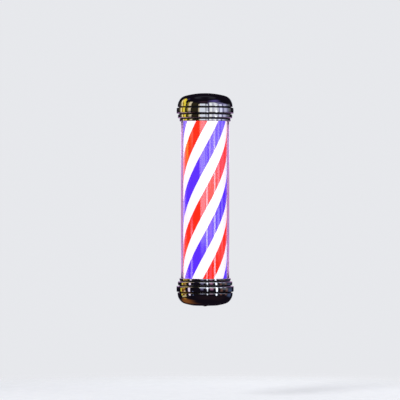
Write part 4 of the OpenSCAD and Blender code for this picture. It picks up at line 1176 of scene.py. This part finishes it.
def rocker_marks(name, body, pivot):
    """The usual two marks: a bar on the half that is pressed for on, and a ring on the other half."""
    look = bpy.context.scene.pole_rockers
    half_w = look.mark_width / 2
    ends = [look.mark_place + share * look.mark_length for share in (-0.5, 0.5)]
    bar = [((-half_w, end), (half_w, end)) for end in ends]
    rocker_mark(name + "_bar", body, pivot, -1, bar, False)
    outer = arc((0, look.mark_place), look.mark_length / 2, 0, 360, MARK_STEPS)[:-1]
    inner = arc((0, look.mark_place), look.mark_length / 2 - look.mark_width, 0, 360, MARK_STEPS)[:-1]
    rocker_mark(name + "_ring", body, pivot, 1, list(zip(inner, outer)), True)


class BARBERPOLE_OT_switches(bpy.types.Operator):
    """Finish the two rocker switches, and mark which half of each rocker is on and which is off"""

    bl_idname = "barber_pole.switches"
    bl_label = "Switches"

    def execute(self, context):
        names = ("light_switch", "motor_switch", "light_rocker", "motor_rocker")
        dress(*names)
        for name in names:
            break_edges(name, SMALL_EDGE)
        for joint in frame["joints"]:
            if joint["name"].endswith("_rocker_tilt"):
                rocker_marks(joint["name"].replace("_tilt", ""), joint["child"], joint["pos_m"])
        return {"FINISHED"}


def glow_material(name, colour, strength, shines_through):
    """Light for reflections only.

    One that shines through fades with its mesh's tone, and adds to the light from behind it."""
    material = bpy.data.materials.new(name)
    material.use_nodes = True
    nodes = Nodes(material.node_tree)
    material.node_tree.nodes.remove(material.node_tree.nodes["Principled BSDF"])
    reflected = nodes.calc("MINIMUM", nodes.add("LightPath").outputs["Glossy Depth"], 1.0)
    clear = nodes.add("BsdfTransparent").outputs[0]
    light = nodes.add("Emission", {"Color": (*colour, 1.0), "Strength": strength})
    if shines_through:
        tone = nodes.add("Attribute", attribute_name="tone").outputs["Fac"]
        nodes.put(light.inputs["Strength"], nodes.times(tone, reflected, strength))
        both = nodes.add("AddShader", {0: light.outputs[0], 1: clear})
    else:
        both = nodes.add("MixShader", {0: reflected, 1: clear, 2: light.outputs[0]})
    nodes.put(material.node_tree.nodes["Material Output"].inputs["Surface"], both.outputs[0])
    return material


def only_reflected(piece):
    """Shows a stage piece in reflections and nowhere else."""
    piece.visible_camera = False
    piece.visible_diffuse = False
    piece.visible_volume_scatter = False
    piece.visible_shadow = False


def fade(share, soft):
    """How bright a card is at a share of the way across, with soft of it fading at each side."""
    level = min(1.0, min(share, 1 - share) / soft)
    return level * level * (3 - 2 * level)


def on_sphere(side, height, radius):
    """The point on the sphere of cards, from its angles in degrees."""
    side = math.radians(side)
    height = math.radians(height)
    return (radius * math.cos(height) * math.sin(side),
            AXIS_Y - radius * math.cos(height) * math.cos(side), radius * math.sin(height))


def card(name, rows, soft, colour, strength, radius):
    """One curved card, which is softer at its edges."""
    points = []
    tones = []
    for row in range(CARD_STEPS + 1):
        up = row / CARD_STEPS
        below = min(int(up * (len(rows) - 1)), len(rows) - 2)
        share = up * (len(rows) - 1) - below
        height, left, right = (a + (b - a) * share for a, b in zip(rows[below], rows[below + 1]))
        for k in range(CARD_STEPS + 1):
            across = k / CARD_STEPS
            points.append(on_sphere(left + (right - left) * across, height, radius))
            tones.append(fade(up, soft) * fade(across, soft))
    faces = []
    for row in range(CARD_STEPS):
        for k in range(CARD_STEPS):
            here = row * (CARD_STEPS + 1) + k
            faces.append((here, here + CARD_STEPS + 1, here + CARD_STEPS + 2, here + 1))
    piece = new_piece(name, points, faces, [glow_material(name, colour, strength, True)])
    piece.data.attributes.new("tone", "FLOAT", "POINT").data.foreach_set("value", tones)
    only_reflected(piece)


def dark_surround(radius, colour):
    """A dark sphere round the cards."""
    points = [(0, AXIS_Y, -radius), (0, AXIS_Y, radius)]
    rows = CARD_STEPS // 2
    for row in range(1, rows):
        height = -90 + 180 * row / rows
        points += [on_sphere(360 * k / CARD_STEPS, height, radius) for k in range(CARD_STEPS)]
    faces = []
    for k in range(CARD_STEPS):
        beside = (k + 1) % CARD_STEPS
        faces.append((0, 2 + k, 2 + beside))
        last = 2 + (rows - 2) * CARD_STEPS
        faces.append((1, last + beside, last + k))
        for row in range(rows - 2):
            here = 2 + row * CARD_STEPS
            faces.append((here + k, here + CARD_STEPS + k, here + CARD_STEPS + beside, here + beside))
    material = glow_material("dark_surround", colour, 1.0, False)
    only_reflected(new_piece("dark_surround", points, faces, [material]))


class BARBERPOLE_OT_studio(bpy.types.Operator):
    """Set up the camera, the floor, the lamps, the world and the cards that the chrome reflects"""

    bl_idname = "barber_pole.studio"
    bl_label = "Studio"

    def execute(self, context):
        look = context.scene.pole_studio
        self.camera(context.scene, look)
        self.world(context.scene, look)
        self.floor(look)
        self.lamps()
        for k, (name, rows, soft, colour, strength) in enumerate(CARDS):
            card(name, rows, soft, colour, strength * look.card_glow, look.card_radius + k * look.card_step)
        for name, rows, soft, colour, strength in NEAR_CARDS:
            card(name, rows, soft, colour, strength * look.card_glow, look.near_radius)
        dark_surround(look.dark_radius, look.dark_colour)
        context.scene.view_settings.view_transform = "Standard"
        return {"FINISHED"}

    def camera(self, scene, look):
        """The camera, level with the pole, which stands in its view where the photograph has it."""
        pixel = 2 * CROWN_Z / POLE_PIXELS
        data = bpy.data.cameras.new("camera")
        data.sensor_width = look.sensor
        data.lens = look.sensor * look.camera_distance / (pixel * PHOTO_SIDE)
        camera = bpy.data.objects.new("camera", data)
        camera.location = ((PHOTO_SIDE / 2 - POLE_X) * pixel, AXIS_Y - look.camera_distance,
                           (POLE_Y - PHOTO_SIDE / 2) * pixel)
        camera.rotation_euler = (math.radians(90), 0, 0)
        scene.collection.objects.link(camera)
        scene.camera = camera

    def world(self, scene, look):
        """Soft light from all sides, behind which the camera, metal and glass see the plain background."""
        world = bpy.data.worlds.new("studio")
        world.use_nodes = True
        scene.world = world
        nodes = Nodes(world.node_tree)
        background = world.node_tree.nodes["Background"]
        rays = nodes.add("LightPath").outputs
        seen = nodes.calc("MAXIMUM", rays["Is Camera Ray"],
                          nodes.calc("MAXIMUM", rays["Is Glossy Ray"], rays["Is Transmission Ray"]))
        nodes.put(background.inputs["Color"], (*look.background, 1.0))
        nodes.put(background.inputs["Strength"], nodes.smooth(seen, 0.0, 1.0, look.ambient, 1.0))

    def floor(self, look):
        """A plain pale floor under the pole, which fades into the background and keeps its shadow."""
        ring = arc((0, AXIS_Y), look.floor_radius, 0, 360, COLUMNS)[:-1]
        nodes = Finish("floor")
        from_axis = nodes.add("VectorMath", {0: nodes.point(), 1: (0, AXIS_Y, 0)}, operation="SUBTRACT")
        flat = nodes.stretched(from_axis.outputs[0], (1, 1, 0))
        away = nodes.add("VectorMath", {0: flat}, operation="LENGTH").outputs["Value"]
        fade_start, fade_end = (share * look.floor_radius for share in FLOOR_FADE)
        shown = nodes.smooth(away, fade_start, fade_end, 1.0, 0.0)
        front = nodes.calc("SUBTRACT", 1.0, nodes.add("NewGeometry").outputs["Backfacing"])
        grain = nodes.noise(nodes.place(), 30.0, 4.0)
        colour = nodes.blend(nodes.spread(grain), FLOOR_GREY, FLOOR_PALE)
        nodes.shade(Base_Color=colour, Roughness=0.9, Specular_IOR_Level=0.0,
                    Alpha=nodes.times(shown, front))
        floor = new_piece("floor", [(x, y, -look.floor_drop) for x, y in ring], [tuple(range(COLUMNS))],
                          [nodes.material])
        floor.visible_glossy = False

    def lamps(self):
        """Soft round lamps that face the pole's middle and don't show in reflections."""
        for name, (right, back, up), width, power in LAMPS:
            data = bpy.data.lights.new(name, "AREA")
            data.shape = "DISK"
            data.size = width
            data.energy = power
            lamp = bpy.data.objects.new(name, data)
            lamp.location = (right, AXIS_Y + back, up)
            toward = -lamp.location
            toward.y += AXIS_Y
            lamp.rotation_euler = toward.to_track_quat("-Z", "Y").to_euler()
            lamp.visible_camera = False
            lamp.visible_glossy = False
            lamp.visible_transmission = False
            bpy.context.scene.collection.objects.link(lamp)


PROPERTY_GROUPS = {
    "pole_caps": CapSizes,
    "pole_tube": TubeSizes,
    "pole_drum": DrumLook,
    "pole_chrome": ChromeLook,
    "pole_rockers": RockerSizes,
    "pole_studio": StudioLook,
}
OPERATORS = (
    BARBERPOLE_OT_studio,
    BARBERPOLE_OT_caps,
    BARBERPOLE_OT_tube,
    BARBERPOLE_OT_drum,
    BARBERPOLE_OT_wheels,
    BARBERPOLE_OT_drive,
    BARBERPOLE_OT_lamp,
    BARBERPOLE_OT_structure,
    BARBERPOLE_OT_cap_fixings,
    BARBERPOLE_OT_wiring,
    BARBERPOLE_OT_switches,
)


class BARBERPOLE_PT_panel(bpy.types.Panel):
    """Everything that dresses the pole, in order"""

    bl_label = "Barber Pole"
    bl_idname = "BARBERPOLE_PT_panel"
    bl_space_type = "VIEW_3D"
    bl_region_type = "UI"
    bl_category = "Barber Pole"

    def draw(self, context):
        for operator in OPERATORS:
            self.layout.operator(operator.bl_idname)
        for name in PROPERTY_GROUPS:
            group = getattr(context.scene, name)
            box = self.layout.box()
            for key in group.bl_rna.properties.keys():
                if key not in ("rna_type", "name"):
                    box.prop(group, key)


def register():
    """Makes the operators, the panel and the scene's properties known to Blender."""
    for group in PROPERTY_GROUPS.values():
        bpy.utils.register_class(group)
    for name, group in PROPERTY_GROUPS.items():
        setattr(bpy.types.Scene, name, bpy.props.PointerProperty(type=group))
    for operator in OPERATORS:
        bpy.utils.register_class(operator)
    bpy.utils.register_class(BARBERPOLE_PT_panel)


def unregister():
    """Takes back what register has done."""
    bpy.utils.unregister_class(BARBERPOLE_PT_panel)
    for operator in reversed(OPERATORS):
        bpy.utils.unregister_class(operator)
    for name in PROPERTY_GROUPS:
        delattr(bpy.types.Scene, name)
    for group in reversed(PROPERTY_GROUPS.values()):
        bpy.utils.unregister_class(group)


def main():
    register()
    bpy.ops.barber_pole.studio()
    bpy.ops.barber_pole.caps()
    bpy.ops.barber_pole.tube()
    bpy.ops.barber_pole.drum()
    bpy.ops.barber_pole.wheels()
    bpy.ops.barber_pole.drive()
    bpy.ops.barber_pole.lamp()
    bpy.ops.barber_pole.structure()
    bpy.ops.barber_pole.cap_fixings()
    bpy.ops.barber_pole.wiring()
    bpy.ops.barber_pole.switches()


if __name__ == "__main__":
    main()
